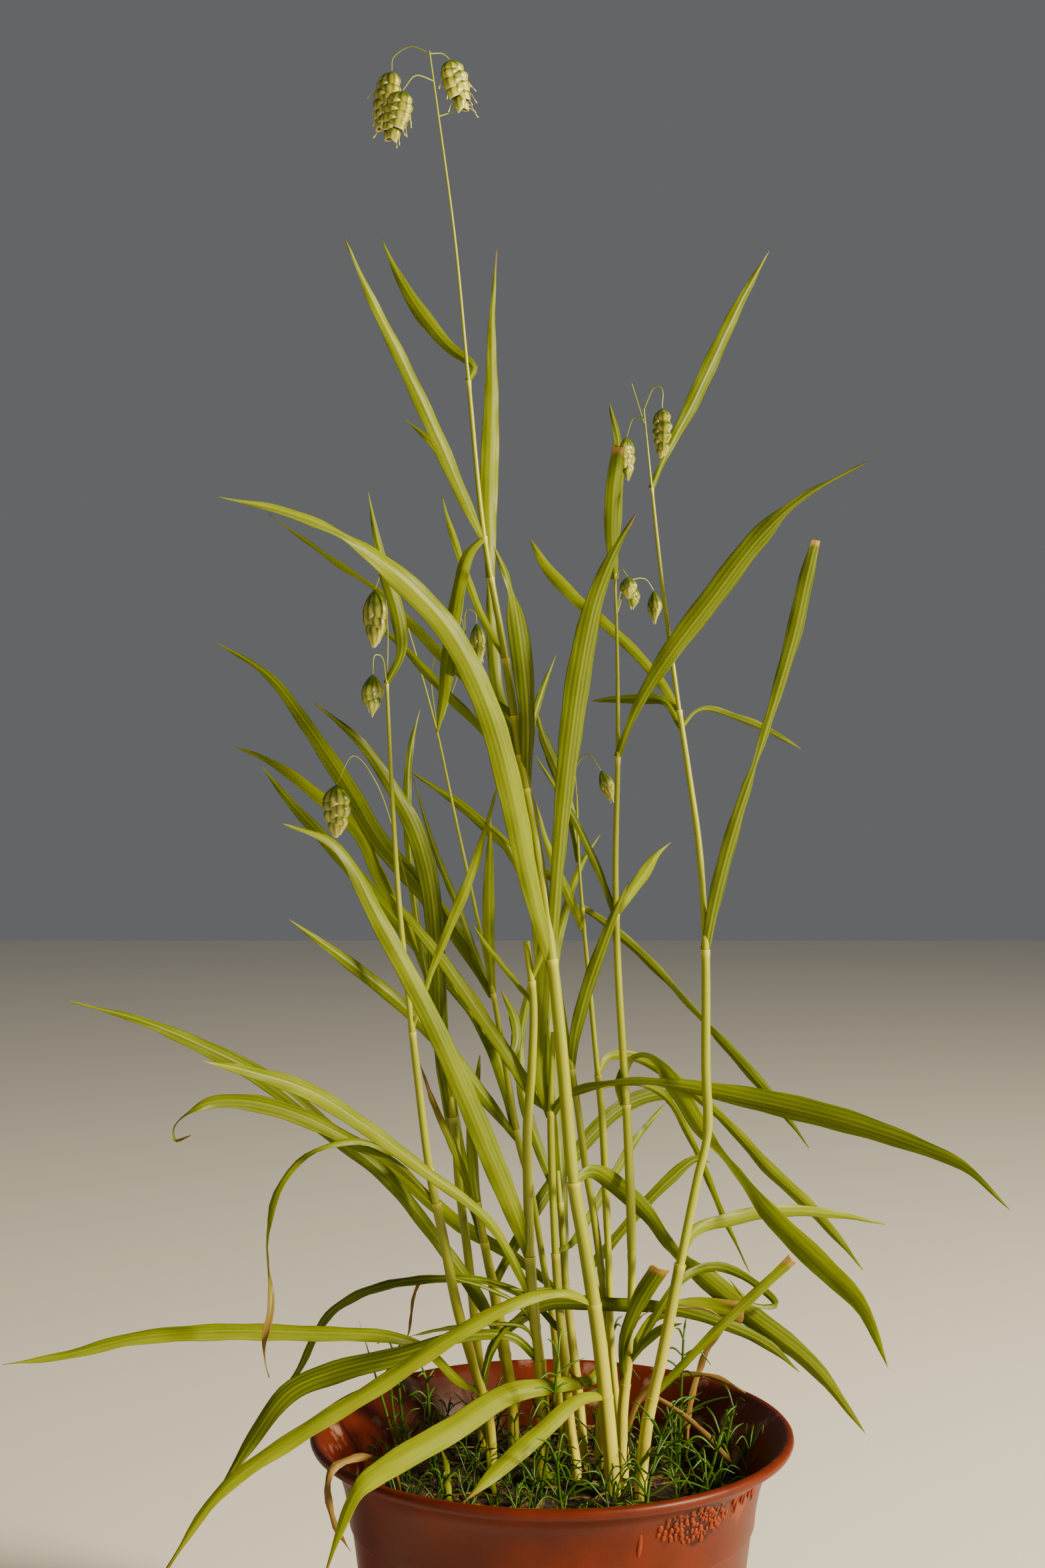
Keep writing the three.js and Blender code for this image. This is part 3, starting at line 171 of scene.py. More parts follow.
      {"path": [[32.7, 491, 0], [29, 491, 6], [26.5, 484.4, 10]], "bottom": [26.8, 468.5], "width": 6.5,
        "turn": -30, "florets": 7},
      {"path": [[32.8, 487, 0], [30.5, 496, 3], [28.3, 503, 5]]},
    ]},
  {"name": "culm_left", "foot": [-21.5, 24], "depth": [24, -14], "radii": [1.4, 1.6, 1.7, 1.6, 1.5, 1.4,
   1.3, 1.0], "nodes": [146, 216, 275],
   "path": [[-22.5, 138], [-26.8, 154], [-33.2, 176], [-38.6, 203], [-43.1, 225], [-47.6, 260], [-51, 290],
    [-54, 320], [-56.5, 360], [-58.3, 398]],
    "blades": [
      {"path": [[-58.3, 397, 2], [-53, 408, 3.5], [-54, 421, 6], [-58.5, 436, 4.5], [-62, 450, 2.5],
        [-64.8, 465, 0]], "reach": -14, "lean": 15},
      {"path": [[-48.8, 274, 1.5], [-42, 296, 2.5], [-35, 313, 4], [-28, 330, 4], [-19, 361, 0]],
        "reach": -22},
      {"path": [[-41.5, 214, 2], [-55, 227.5, 3.5], [-70, 235.5, 5], [-88, 244.5, 7], [-106, 249.5, 6.5],
        [-120, 249.5, 4.5], [-128, 246, 3, 60], [-133.5, 240.5, 2, 100], [-133, 235.5, 2, 140],
        [-127.5, 237.5, 0, 160]], "reach": [0, -4.5, -9, -13.5, -18, -22.5, -27, -31, -34, -37],
        "dry_tip": 1, "dry_length": 24},
      {"path": [[-43.3, 226, 2], [-56, 231.5, 2.5], [-67, 235.5, 3], [-77, 234.5, 2.5], [-88, 229.5, 2],
        [-97, 218, 3.5], [-100.7, 202, 3, 70], [-100, 186, 3, 110], [-99.3, 176, 2.5, 160],
        [-101.2, 165, 2.5, 220], [-101, 157, 2, 260], [-99.8, 152, 0, 300]], "reach": [0, -5.5, -11, -16.5,
        -22, -27.5, -33, -36, -38.5, -41, -42.5, -44], "lean": 35, "dry_tip": 1.1, "dry_length": 90},
      {"path": [[-24.5, 147, 2.5], [-20.5, 163, 3.5], [-12, 171.5, 4], [-2, 177.5, 5.5], [20, 177.5, 5.5],
        [42, 176, 4.5], [60, 171, 4.5], [76, 163.5, 4.5], [87.5, 154, 0]], "reach": [0, -5, -9, -10, -10,
        -12, -9, 0, 6], "lean": 22},
      {"path": [[-24.5, 147, 2.5], [-33, 151, 3.5], [-42, 160, 4], [-54, 166, 4.5], [-86, 168, 6],
        [-118, 168.5, 6.5], [-148, 166, 5], [-172, 160, 3.5], [-194, 156.5, 0]], "reach": -48, "lean": 25},
    ],
    "stalks": [
      {"path": [[-58.2, 396, 0], [-58, 418, 6], [-60, 436, 9], [-62.3, 430.6, 11]],
        "bottom": [-62.4, 409.5], "width": 9.5, "turn": 25, "florets": 5},
      {"path": [[-58.2, 396, 0], [-60, 406.5, -3], [-62.5, 407, -5], [-63.2, 400.5, -6]],
        "bottom": [-63.5, 385], "width": 8, "turn": -25, "florets": 4},
    ]},
  {"name": "culm_bent", "foot": [27.5, 16], "depth": [16, 18], "radii": [1.4, 1.4, 1.4, 1.4, 1.3, 1.2, 1.0,
   0.8], "nodes": [205, 258, 312],
   "path": [[23.4, 140], [21, 165], [20.4, 184.5], [19.6, 205.5], [17.8, 244.5], [16, 262], [13.6, 288],
    [11.3, 312], [9.6, 335], [8.8, 358]],
    "blades": [
      {"path": [[16.2, 259, 2.5], [20, 265, 3.5], [27, 265.5, 4], [36, 262, 4.5], [50, 252.5, 4],
        [64, 239.5, 3.8], [76, 226, 5.5], [90, 213, 5.5], [101, 201, 3.5], [110, 190, 0]], "reach": 42,
        "lean": 25},
      {"path": [[16.8, 254, 2], [28, 256, 2.5], [40, 251, 3], [50, 234, 3], [60, 210, 3], [70, 189, 0]],
        "reach": [0, 10, 22, 26, 26, 26], "lean": 30},
      {"path": [[11.5, 310, 3], [5.5, 324, 4], [-0.5, 338, 3], [-6, 356, 0]], "reach": -26},
      {"path": [[10.8, 318, 2], [20, 311.5, 3.5], [34, 299, 4], [50, 281.5, 2.5, 50], [66, 264, 4.8],
        [79, 249, 4], [91, 233, 0]], "reach": 30, "lean": 25},
      {"path": [[11.2, 314, 2], [2, 328, 4], [-8, 333, 4], [-20, 344, 4.5], [-33, 355, 4], [-50, 366, 0]],
        "reach": 48, "lean": 20},
    ],
    "stalks": [
      {"path": [[8.9, 357, 0], [8.8, 368, -2], [13, 372, -5], [17.3, 366.5, -8]], "bottom": [22, 355],
        "width": 5.5, "turn": 10, "florets": 3},
    ]},
  {"name": "culm_inner", "foot": [17.5, 23], "depth": [23, 14], "radii": [1.4, 1.5, 1.4, 1.3, 1.2, 1.0],
   "nodes": [190, 262],
   "path": [[18, 142], [19.2, 168], [18.1, 184.5], [14.5, 212], [12, 226], [9.1, 248], [6.9, 262],
    [4.5, 278], [2.5, 290]],
    "blades": [
      {"path": [[6.8, 261, 2.5], [8.5, 273, 4.5], [13, 290, 5], [17.5, 303, 4.5], [22, 315, 3],
        [27, 327, 0]], "reach": -22, "lean": 15},
      # Tone 1 and dry 0.3 paint the light on this front blade's face as a paler, yellower green
      {"path": [[19, 160, 2.5], [15, 152, 4], [2, 149.5, 5.5], [-15, 146.5, 8], [-35, 134, 9],
        [-55, 122.5, 8.5], [-69, 112, 6.5, 40], [-75, 99, 4, 50], [-80, 82, 0]], "reach": [0, -6, -18, -32,
        -54, -76, -96, -104, -108], "lean": 12, "tone": 1, "dry": 0.3},
      {"path": [[18.6, 178, 2.5], [14, 190, 3.5], [20, 197.5, 4], [30, 209.5, 4], [42, 222, 5],
        [51, 229, 3.5], [56, 228, 0]], "reach": 18, "lean": 25},
    ],
    "stalks": []},
  {"name": "culm_pale", "foot": [9, 12], "depth": [12, 18], "radii": [1.6, 1.7, 1.6, 1.5, 1.4, 1.3, 1.1],
   "nodes": [217, 247],
   "path": [[6.5, 136], [4.4, 160], [2.6, 178], [1.4, 195], [0.2, 222], [-0.3, 244], [0.1, 262],
    [0.6, 274]],
    "blades": [
      {"path": [[0, 244, 3], [5, 251, 3.5], [18, 255, 4, 50], [34, 256, 4, 50], [56, 253, 6],
        [80, 248, 9.5], [104, 242, 9], [128, 234, 6], [146, 226, 3.5], [162, 211, 0]], "reach": [0, -5, -13,
        -17, -17, -22, -30, -38, -46, -54], "lean": 20},
      {"path": [[-0.3, 246, 3], [-4.5, 262, 4.5], [-3, 278, 5.5], [0, 295, 5], [4, 313, 3], [10, 332, 2.5],
        [17.3, 344, 0]], "reach": 26, "lean": 12},
      {"path": [[2.6, 168, 2], [-8, 180, 3], [-22, 186, 3], [-42, 187, 3.5], [-66, 182.5, 4],
        [-80, 173, 3.5], [-90, 154, 3], [-101, 138, 0]], "reach": [0, 5, 8, 7, 30, 45, 54, 58], "lean": 28},
      {"path": [[2, 196, 2], [8, 200, 3], [18, 216, 4], [30, 236, 3.8], [41, 249.5, 0]], "reach": 42,
        "lean": 30},
    ],
    "stalks": []},
  {"name": "culm_back", "foot": [12, 27], "depth": [27, 44], "radii": [1.5, 1.6, 1.6, 1.4, 1.2],
   "nodes": [187],
   "path": [[10, 142], [8.2, 157], [6.4, 172], [4.8, 187], [3.8, 203], [2, 225]],
    "blades": [
      {"path": [[3, 214, 2.5], [-4, 232, 4], [-10, 252, 4.5], [-10.5, 275, 3.5], [-4, 300, 2.5],
        [1, 312, 0]], "reach": 34, "lean": 15},
      {"path": [[5, 185, 2.5], [4, 215, 4.5], [1, 255, 6.5], [-3, 300, 6.5], [-8, 345, 4.5], [-12, 378, 0]],
        "reach": 72, "lean": 20},
      {"path": [[5.4, 180, 2.5], [-12, 194, 4], [-32, 206, 6], [-54, 224, 6], [-76, 239, 4.5],
        [-96, 251, 0]], "reach": 84, "lean": 20},
    ],
    "stalks": []},
  {"name": "culm_thin", "foot": [4.5, 33], "depth": [33, 34], "radii": [1.3, 1.4, 1.3, 1.2, 1.1, 0.9, 0.7,
   0.5], "nodes": [219, 286, 380],
   "path": [[2.2, 150], [0.6, 170], [-2.9, 192], [-7.4, 219], [-11.9, 236], [-17.2, 267], [-20.4, 286],
    [-27.5, 320], [-34.5, 352], [-40.5, 380], [-47, 404], [-52, 421]],
    "blades": [
      {"path": [[-20.6, 287, 3], [-31, 305, 6], [-46, 325, 7.5], [-60, 341, 7.5], [-72, 361, 7.5],
        [-86, 382, 5.5], [-100, 400, 3.5], [-119, 412, 0]], "reach": 44, "lean": 18},
      {"path": [[-12.5, 240, 3], [-18, 262, 6], [-26, 281, 7.5], [-42, 300, 7], [-56, 315, 6],
        [-76, 338, 6], [-92, 355, 4], [-102.5, 368, 0]], "reach": 64, "lean": 18},
      {"path": [[-11.8, 236, 2], [-22, 249, 5], [-36, 267, 5.5], [-52, 283, 5], [-72, 299, 5],
        [-93, 314, 0]], "reach": -34, "lean": 18},
      {"path": [[-20.8, 288, 2.5], [-22, 306, 4.5], [-22, 328, 4.5], [-21.5, 350, 0]], "reach": -12,
        "lean": 12},
    ],
    "stalks": [
      {"path": [[-40.3, 379.5, 0], [-31, 408, -5], [-30, 423, -7], [-27, 422, -8], [-26.5, 418.5, -8]],
        "bottom": [-25.5, 404], "width": 6, "turn": 20, "florets": 5},
      {"path": [[-40.3, 379.5, 0], [-36, 406, 4], [-32, 420, 5], [-30.5, 411.5, 5]], "bottom": [-24, 404.5],
        "width": 6, "turn": -35, "florets": 3},
      {"path": [[-40.3, 379.5, 0], [-42, 404, 2], [-36, 412, 1], [-31.5, 406.5, 0]], "bottom": [-26, 396],
        "width": 5.5, "turn": 70, "florets": 3},
    ]},
  {"name": "culm_sheathed", "foot": [-25.5, 43], "depth": [43, 50], "radii": [1.5, 1.7, 1.9, 1.9, 1.9],
   "nodes": [238],
   "path": [[-24.5, 146], [-26.5, 165], [-29.2, 192], [-33, 222], [-34.1, 238.5], [-37, 258], [-39.5, 276]],
    "blades": [
      {"path": [[-36.5, 244, 4], [-39, 272, 6.5], [-40.3, 300, 6.5], [-43, 327, 7.5], [-48, 345, 7.5],
        [-56, 360, 5], [-67, 376, 4], [-84, 390.5, 0]], "reach": -30, "lean": 12},
      {"path": [[-39, 268, 2.5], [-44, 294, 2.5], [-52, 313, 3.5], [-61, 330, 6], [-68, 345, 6],
        [-84, 359, 5.5], [-98, 369, 3.5], [-112, 375, 0]], "reach": 30, "lean": 25},
      {"path": [[-39, 270, 2], [-47, 310, 3], [-50.5, 345, 3.5], [-50, 372, 3], [-46.5, 388, 0]],
        "reach": 18, "lean": 20},
    ],
    "stalks": [
      {"path": [[-39.4, 275, 0], [-52, 330, -8], [-62, 362, -14], [-70, 371.5, -15], [-76, 361.5, -16]],
        "bottom": [-76, 342.5], "width": 11, "turn": 15, "florets": 7},
    ]},
  {"name": "tiller_broad", "foot": [-3.5, 5], "depth": [5, 0], "radii": [1.7, 1.9, 1.9, 1.8, 1.6, 1.4],
   "nodes": [170],
   "path": [[-3, 138], [-4.2, 157], [-6, 172], [-7.4, 190], [-8.3, 215], [-8.6, 240], [-7, 262],
    [-6.5, 285], [-9, 306]],
    "blades": [
      {"path": [[-7.4, 195, 3.5], [-13, 210, 7], [-21, 230, 8.5], [-31, 254, 8], [-43, 280, 7],
        [-60, 312, 6.5], [-76, 340, 5, 50], [-95, 347.5, 0]], "reach": -44, "lean": 15},
      {"path": [[-6.6, 180, 3], [-22, 207, 3.5], [-46, 226, 4.5], [-66, 241, 5.5], [-86, 253.5, 6.5],
        [-106, 260, 4.5], [-124, 264, 0]], "reach": -62, "lean": 20},
      {"path": [[-4.5, 158, 2.5], [-14, 166.5, 3.5], [-32, 166.5, 4], [-54, 160, 6.5], [-76, 154.5, 8.5],
        [-93, 147, 7.5], [-106, 130, 5.5], [-119, 109, 0]], "reach": -34, "lean": 18},
      {"path": [[-7, 292, 2], [-2.5, 306, 3], [-7, 322, 3.5], [-15, 338, 3], [-26, 350, 0]], "reach": -20,
        "lean": 20},
    ],
    "stalks": []},
  {"name": "tiller_left", "foot": [-13.5, 39], "depth": [39, 30], "radii": [2.0, 2.2, 2.2, 1.8, 1.5],
   "nodes": [160],
   "path": [[-14.5, 148], [-16.5, 160], [-18.5, 172], [-21, 186], [-23.5, 198], [-26.3, 214]],
    "blades": [
      {"path": [[-17.5, 166, 3.5], [-28, 184, 5.5], [-42, 203, 5], [-58, 223, 6], [-78, 239, 6.5],
        [-100, 257, 7.5], [-124, 269.5, 5.5], [-146, 278.5, 3], [-171, 285, 0]], "reach": -54, "lean": 20},
      {"path": [[-26, 211, 3], [-27.5, 225, 4], [-28, 240, 4.5], [-26.5, 254, 3.5], [-25.3, 266, 0]],
        "reach": 10, "lean": 15},
      {"path": [[-21, 184, 3], [-12, 200, 4.5], [4, 225, 6], [28, 249, 6.5], [58, 253, 6], [82, 248, 4],
        [102, 242, 0]], "reach": [0, 18, 34, 50, 62, 75, 88], "lean": 20},
      {"path": [[-24, 200, 3], [-31, 226, 5], [-37, 256, 6.5], [-41, 290, 5.5], [-45, 326, 0]], "reach": [0,
        30, 46, 62, 76], "lean": 20},
    ],
    "stalks": []},
]

# Dried leaves, each on its own foot in the soil
DRY_LEAVES = [
  {"name": "dry_leaf_right", "foot": [33, 33], "depth": 33, "reach": -16, "lean": 30,
    "path": [[27, 133, 2.5], [32, 146, 2.5], [38, 150, 3], [47, 152.5, 2.5], [55, 152.5, 2], [62, 150, 2.5],
    [68.5, 146.5, 0]]},
  {"name": "dry_leaf_hook", "foot": [50, 29], "depth": 29, "reach": 4, "lean": 30, "path": [[48, 134, 2.5],
    [50, 146, 2.5], [53, 156, 2.5], [56, 163, 3], [62, 170, 0]]},
  {"name": "dry_leaf_lip", "foot": [-52, -22], "depth": -30, "reach": [0, -14, -20, -26, -29, -31, -32],
    "lean": 30, "path": [[-55, 118, 2.5], [-64, 124, 2.5], [-71, 123.5, 3], [-78, 119.5, 3],
    [-79.5, 112, 2.5], [-76.5, 99, 2.5], [-71, 90.5, 0]]},
]

# Narrow inner and young blades, and dry straws. on: the culm that carries it. Without it, it
# hangs at its depth, or stands in the soil. A tone given here is partly painted light and
# shade, as in the culms' table
SMALL_BLADES = [
  {"on": "tiller_broad", "path": [[-6, 170, 1], [-12, 178, 1.6], [-24, 184, 1.6], [-35, 187, 0]],
    "reach": -12},
  {"on": "tiller_broad", "path": [[-5, 164, 1], [-10, 170, 1.6], [-20, 171, 1.6], [-33, 170, 1.6],
    [-42, 168.5, 1.4], [-52, 166, 0]], "reach": -20},
  {"on": "tiller_broad", "path": [[-6, 174, 1.5], [-12, 173, 2], [-18, 167, 2], [-22, 160, 1.6],
    [-24, 152, 0]], "reach": -14},
  {"on": "culm_pale", "path": [[1.5, 184, 1], [-12, 183, 1.6], [-25, 186.5, 0]], "reach": -10},
  {"path": [[-36, 109, 2], [-37, 121, 2.2], [-39.5, 128, 0]], "tone": 1},
  {"path": [[-20, 112, 2], [-22, 122, 2], [-23, 130, 0]], "tone": 1},
  {"path": [[2, 114, 2], [-2, 120, 2], [-4, 130, 0]], "tone": 1},
  {"depth": 24, "path": [[-47, 185.5, 1.6], [-49, 180, 1.2], [-49.8, 173, 1.2], [-50.5, 168, 0.8],
    [-52.2, 162.5, 0]], "dry": 1},
  {"on": "culm_right", "path": [[36, 146, 1.5], [46, 139, 2], [55, 131, 2.5], [62, 123, 2.5], [70, 116, 0]],
    "reach": 8, "dry": 1},
  {"on": "culm_right", "path": [[42, 177, 0.8], [55, 176, 1], [62, 171.5, 0]], "reach": 8, "dry": 1},
  {"on": "culm_middle", "path": [[27.5, 166, 1], [31, 173, 1], [38, 177, 0]], "dry": 0.7},
  {"on": "culm_pale", "path": [[4.4, 157, 1.2], [8, 152, 1.5], [15, 146, 0]], "reach": -6, "dry": 1},
  {"on": "tiller_broad", "path": [[-6.8, 284, 1.5], [-14, 293.5, 2.2], [-23, 305, 2], [-28, 312, 0]],
    "reach": 14, "tone": 0.8},
  {"on": "culm_pale", "path": [[-0.2, 246, 2.5], [-5.5, 251, 4.5], [-16, 267, 6], [-25, 280, 5.5],
    [-38, 299, 5], [-50, 314, 3.5], [-57, 323, 0]], "reach": 16, "tone": 0.7},
  {"on": "culm_thin", "path": [[-16.4, 262, 2], [-12.4, 269, 4.5], [-13, 279, 4.5], [-18, 289, 0]],
    "reach": 12, "tone": 0.4},
  {"on": "tiller_left", "path": [[-23, 196, 1.5], [-26.5, 212, 3], [-34, 232, 3.5], [-42, 250, 2.5],
    [-46.5, 263, 0]], "reach": 9, "tone": 0.9, "dry_tip": 1.1, "dry_length": 50},
  {"on": "culm_pale", "path": [[-0.2, 244, 3], [-4, 257, 5.5], [-4.2, 275, 6.5], [-3.2, 291, 6],
    [-2.5, 307, 4.5], [-3.5, 325, 3], [-6, 342, 0]], "reach": 5, "lean": 12, "tone": 0.8},
  {"on": "culm_bent", "path": [[9.8, 334, 2], [7, 352, 4.5], [2, 367, 5.5], [-3, 379, 3.5],
    [-6, 390, 0]], "reach": 9, "tone": 0.3},
  {"on": "culm_tallest", "path": [[-10, 366, 1.5], [-7.5, 380, 3], [-3, 395, 2.8], [1.5, 407, 0]],
    "reach": 13, "tone": 0.5},
  {"on": "culm_thin", "path": [[-20.5, 286, 2], [-27, 302, 3], [-34, 321, 3], [-41, 338, 2.5],
    [-49, 364, 0]], "reach": 14, "tone": 0.6},
]

# Needle leaves of single seedlings, each from the soil
NEEDLES = [
  [[44, 128], [46, 137], [52, 142], [62, 145], [70.5, 144]],
  [[24, 110], [32, 122], [40, 129], [48, 127], [52, 124], [54, 117]],
  [[5, 111], [15, 113.5], [26, 111]],
  [[63, 119], [68, 127], [69, 136]],
  [[63, 119], [69, 128], [71, 135]],
  [[63, 119], [69, 127], [74, 134]],
  [[60, 121], [61, 134], [64, 132], [64.5, 127]],
  [[-52, 118], [-60, 145], [-68, 172]],
  [[-50, 117], [-56, 140], [-57, 166]],
]

# Weeds: foot in the soil, tip [x, y, height], "needle": the longest leaf
WEEDS = [
  {"name": "weed_bud_stem", "foot": [46, 14], "tip": [47.5, 12, 48], "needle": 9},
  {"name": "weed_front_left", "foot": [-34, -50], "tip": [-37, -52, 18], "needle": 7},
  {"name": "weed_front_middle", "foot": [4, -50], "tip": [1, -54, 26], "needle": 15},
  {"name": "weed_front_right", "foot": [30, -48], "tip": [36, -40, 30], "needle": 20},
  {"name": "weed_right", "foot": [48, -28], "tip": [57, -26, 26], "needle": 15},
  {"name": "weed_far_right", "foot": [62, 14], "tip": [66, 16, 22], "needle": 11},
  {"name": "weed_left", "foot": [-52, 12], "tip": [-56, 14, 42], "needle": 9},
  {"name": "weed_left_inner", "foot": [-40, 2], "tip": [-44, 0, 36], "needle": 9},
  {"name": "weed_centre", "foot": [-4, -16], "tip": [2, -18, 50], "needle": 12},
  {"name": "weed_back", "foot": [20, 52], "tip": [24, 56, 38], "needle": 11},
]

# Pot, in millimetres, as its solid has it
RIM_RADIUS = 85
POT_HEIGHT = 135
NECK_RADIUS = 71.2
NECK_HEIGHT = 103.5
BASE_RADIUS = 57
WALL = 2
FLOOR = 3
RECESS = 1.8
FOOT_WIDTH = 4
PAD_RADIUS = 22
DRAIN_RADIUS = 4
DRAIN_RING = 38
DRAINS = 6
PATCH = (46, -60, 122)
RUNS = (64, -42, 126)
NICK = (27, -68, 118)

# Soil and what stands in it
SOIL_TOP = 114
SOIL_LUMP = 1.6
SOIL_PATCH = 5
HOLE_DEPTH = 16
PLUG_TOP = 2.5
PLUG_MIDDLE = 7
CLEARANCE = 0.4
SOIL_REACH = 66
LITTER_REACH = 62

# How far leaves keep from the pot's wall, how much wider it is for each millimetre above its neck,
# and half the width of the studio's floor
LEAF_GAP = 1.5
FLARE = 0.22
FLOOR_REACH = 4000

# Blades, in millimetres and degrees. A blade leans back by its lean and ends in a point. Its tip
# dries, and a cut end is brown and torn for a short way
BLADE_LEAN = 25
BLADE_POINT = 0.15
DRY_TIP = 11
CUT_BROWN = 1.6
CUT_TORN = 3.6
RING_STEP = 3.5

# Stems, in millimetres, and the share by which a joint swells
STEM_STEP = 2.2
JOINT_LENGTH = 1.3
JOINT_SWELL = 0.17
SHEATH_LENGTH = 75
SHEATH_GAP = 9

# Spikelets: those with more florets than this are ripe, and hang below their stalk by a gap
RIPE_FLORETS = 9
STAMENS = 9
HANG_GAP = 0.35

# Blisters: the half width and half height of their patch, and how many are tried for it
PATCH_SIZE = (15, 6.5)
BLISTER_TRIES = 900

# The share of a turn after which points spread evenly over a disc
GOLDEN_TURN = 0.618

# The part's one body, short names of common nodes, the inputs that a row's tuple fills where they
# aren't the first ones, the facts that are vectors, and the sockets that values need
BODY = "root"
CALC = "ShaderNodeMath"
MIX = "ShaderNodeMix"
RANGE = "ShaderNodeMapRange"
NOISE = "ShaderNodeTexNoise"
AIM = "ShaderNodeVectorMath"
SOCKETS = {MIX: (0, 6, 7), NOISE: (0, 2, 3, 4)}
VECTORS = ("side", "face", "ahead", "down", "out", "size")
INPUT_KINDS = {float: "NodeSocketFloat", int: "NodeSocketInt", type(None): "NodeSocketObject"}


# Small helpers

def seen(across, up, depth):
    """The point at a depth that the eye sees at this place of the upright plane."""
    stretch = (depth - EYE.y) / -EYE.y
    return Vector((EYE.x + (across - EYE.x) * stretch, depth, EYE.z + (up - EYE.z) * stretch))


def lerp_list(values, share):
    """The value at a fraction of the way through evenly spaced ones."""
    place = share * (len(values) - 1)
    low = min(int(place), len(values) - 2)
    return values[low] + (values[low + 1] - values[low]) * (place - low)


def turned(radius, angle, height=0.0):
    """The point at a radius and an angle around the pot's axis."""
    return radius * math.cos(angle), radius * math.sin(angle), height


def aside(first, second, along, angle):
    """The direction square to two others, turned about a third."""
    side = first.cross(second).normalized()
    side.rotate(Quaternion(along, angle))
    return side


def soft_point(knots, share):
    """A point of the centripetal curve through the knots, the curve that the solids follow."""
    place = share * (len(knots) - 1)
    i = min(int(place), len(knots) - 2)
    t = place - i
    near, far = knots[i], knots[i + 1]
    before = knots[i - 1] if i > 0 else near * 2 - far
    after = knots[i + 2] if i + 2 < len(knots) else far * 2 - near
    d0, d1, d2 = (math.sqrt((b - a).length) for a, b in ((before, near), (near, far), (far, after)))
    leave = ((near - before) / d0 - (far - before) / (d0 + d1) + (far - near) / d1) * d1
    arrive = ((far - near) / d1 - (after - near) / (d1 + d2) + (after - far) / d2) * d1
    square = 3 * (far - near) - 2 * leave - arrive
    cube = 2 * (near - far) + leave + arrive
    return near + leave * t + square * t**2 + cube * t**3


def soft_line(knots, step, least=4):
    """Points along the curve, the fraction of the way and the direction at each."""
    rough = sum((soft_point(knots, (i + 1) / 60) - soft_point(knots, i / 60)).length for i in range(60))
    count = max(least, round(rough / step))
    shares = [i / count for i in range(count + 1)]
    points = [soft_point(knots, share) for share in shares]
    ahead = [points[min(i + 1, count)] - points[max(i - 1, 0)] for i in range(count + 1)]
    return points, shares, [direction.normalized() for direction in ahead]


def measured(points):
    """How far along its line each point lies, in millimetres."""
    run = [0.0]
    for before, after in zip(points, points[1:]):
        run.append(run[-1] + (after - before).length)
    return run


def linear(code):
    """An sRGB hex colour as linear red, green, blue and alpha."""
    parts = [int(code[i:i + 2], 16) / 255 for i in (1, 3, 5)]
    return [part / 12.92 if part <= 0.04045 else ((part + 0.055) / 1.055) ** 2.4 for part in parts] + [1]


def add_node(tree, kind, settings=None, links=None):
    """Adds one node, with its settings, and a value or a link for each named socket."""
    made = tree.nodes.new(kind)
    for name, value in (settings or {}).items():
        setattr(made, name, value)
    for socket, value in (links or {}).items():
        if isinstance(value, bpy.types.NodeSocket):
            tree.links.new(value, made.inputs[socket])
        else:
            made.inputs[socket].default_value = value
    return made


def wire(tree, known, *rows):
    """Adds nodes row by row. A row holds the name of its result, its kind, its inputs and its
    operation or settings. In its inputs a word stands for the earlier result of that name, or
    else for itself."""
    for name, kind, links, *settings in rows:
        settings = {"data_type": "RGBA"} if kind == MIX else settings[0] if settings else {}
        if isinstance(settings, str):
            settings = {"operation": settings}
        if isinstance(links, tuple):
            links = dict(zip(SOCKETS.get(kind, range(5)), links))
        links = {socket: known.get(value, value) if isinstance(value, str) else value
                 for socket, value in links.items()}
        made = add_node(tree, kind, settings, links)
        known[name] = next(socket for socket in made.outputs if socket.enabled)


def settle(piece, slot, *nodes):
    """Lets a finished piece ride on the part and stand for its solids. Its slot is not used."""
    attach(piece, BODY)
    if nodes:
        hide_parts(*nodes)
    return piece


def linked(name, data):
    """A new object of the scene that shows a mesh, a light or a camera."""
    made = bpy.data.objects.new(name, data)
    bpy.context.scene.collection.objects.link(made)
    return made


def mark(mesh, label, values):
    """Stores a number or a vector at each point of a mesh."""
    if isinstance(values[0], Vector):
        flat = [number for value in values for number in value]
        mesh.attributes.new(label, "FLOAT_VECTOR", "POINT").data.foreach_set("vector", flat)
    else:
        mesh.attributes.new(label, "FLOAT", "POINT").data.foreach_set("value", values)


class Lines:
    """Centre lines in millimetres, with what each of their points carries, kept for a sweep."""

    def __init__(self):
        self.points = []
        self.edges = []
        self.facts = {}

    def add(self, points, **facts):
        start = len(self.points)
        self.points += points
        self.edges += [(start + i, start + i + 1) for i in range(len(points) - 1)]
        for name, values in facts.items():
            even = values if isinstance(values, list) else [values] * len(points)
            self.facts.setdefault(name, []).extend(even)

    def make(self, name):
        """The lines as a mesh object in metres, each fact an attribute of its points."""
        mesh = bpy.data.meshes.new(name)
        mesh.from_pydata([point * MM for point in self.points], self.edges, [])
        for fact, values in self.facts.items():
            mark(mesh, fact, values)
        return linked(name, mesh)


def mesh_object(name, points, faces, finish):
    """A smooth mesh object from points in millimetres."""
    mesh = bpy.data.meshes.new(name)
    mesh.from_pydata([Vector(point) * MM for point in points], [], faces)
    mesh.materials.append(finish)
    mesh.shade_smooth()
    return linked(name, mesh)


def freed(name, shape):
    """A mesh object of a bmesh, which is freed."""
    mesh = bpy.data.meshes.new(name)
    shape.to_mesh(mesh)
    shape.free()
    return linked(name, mesh)


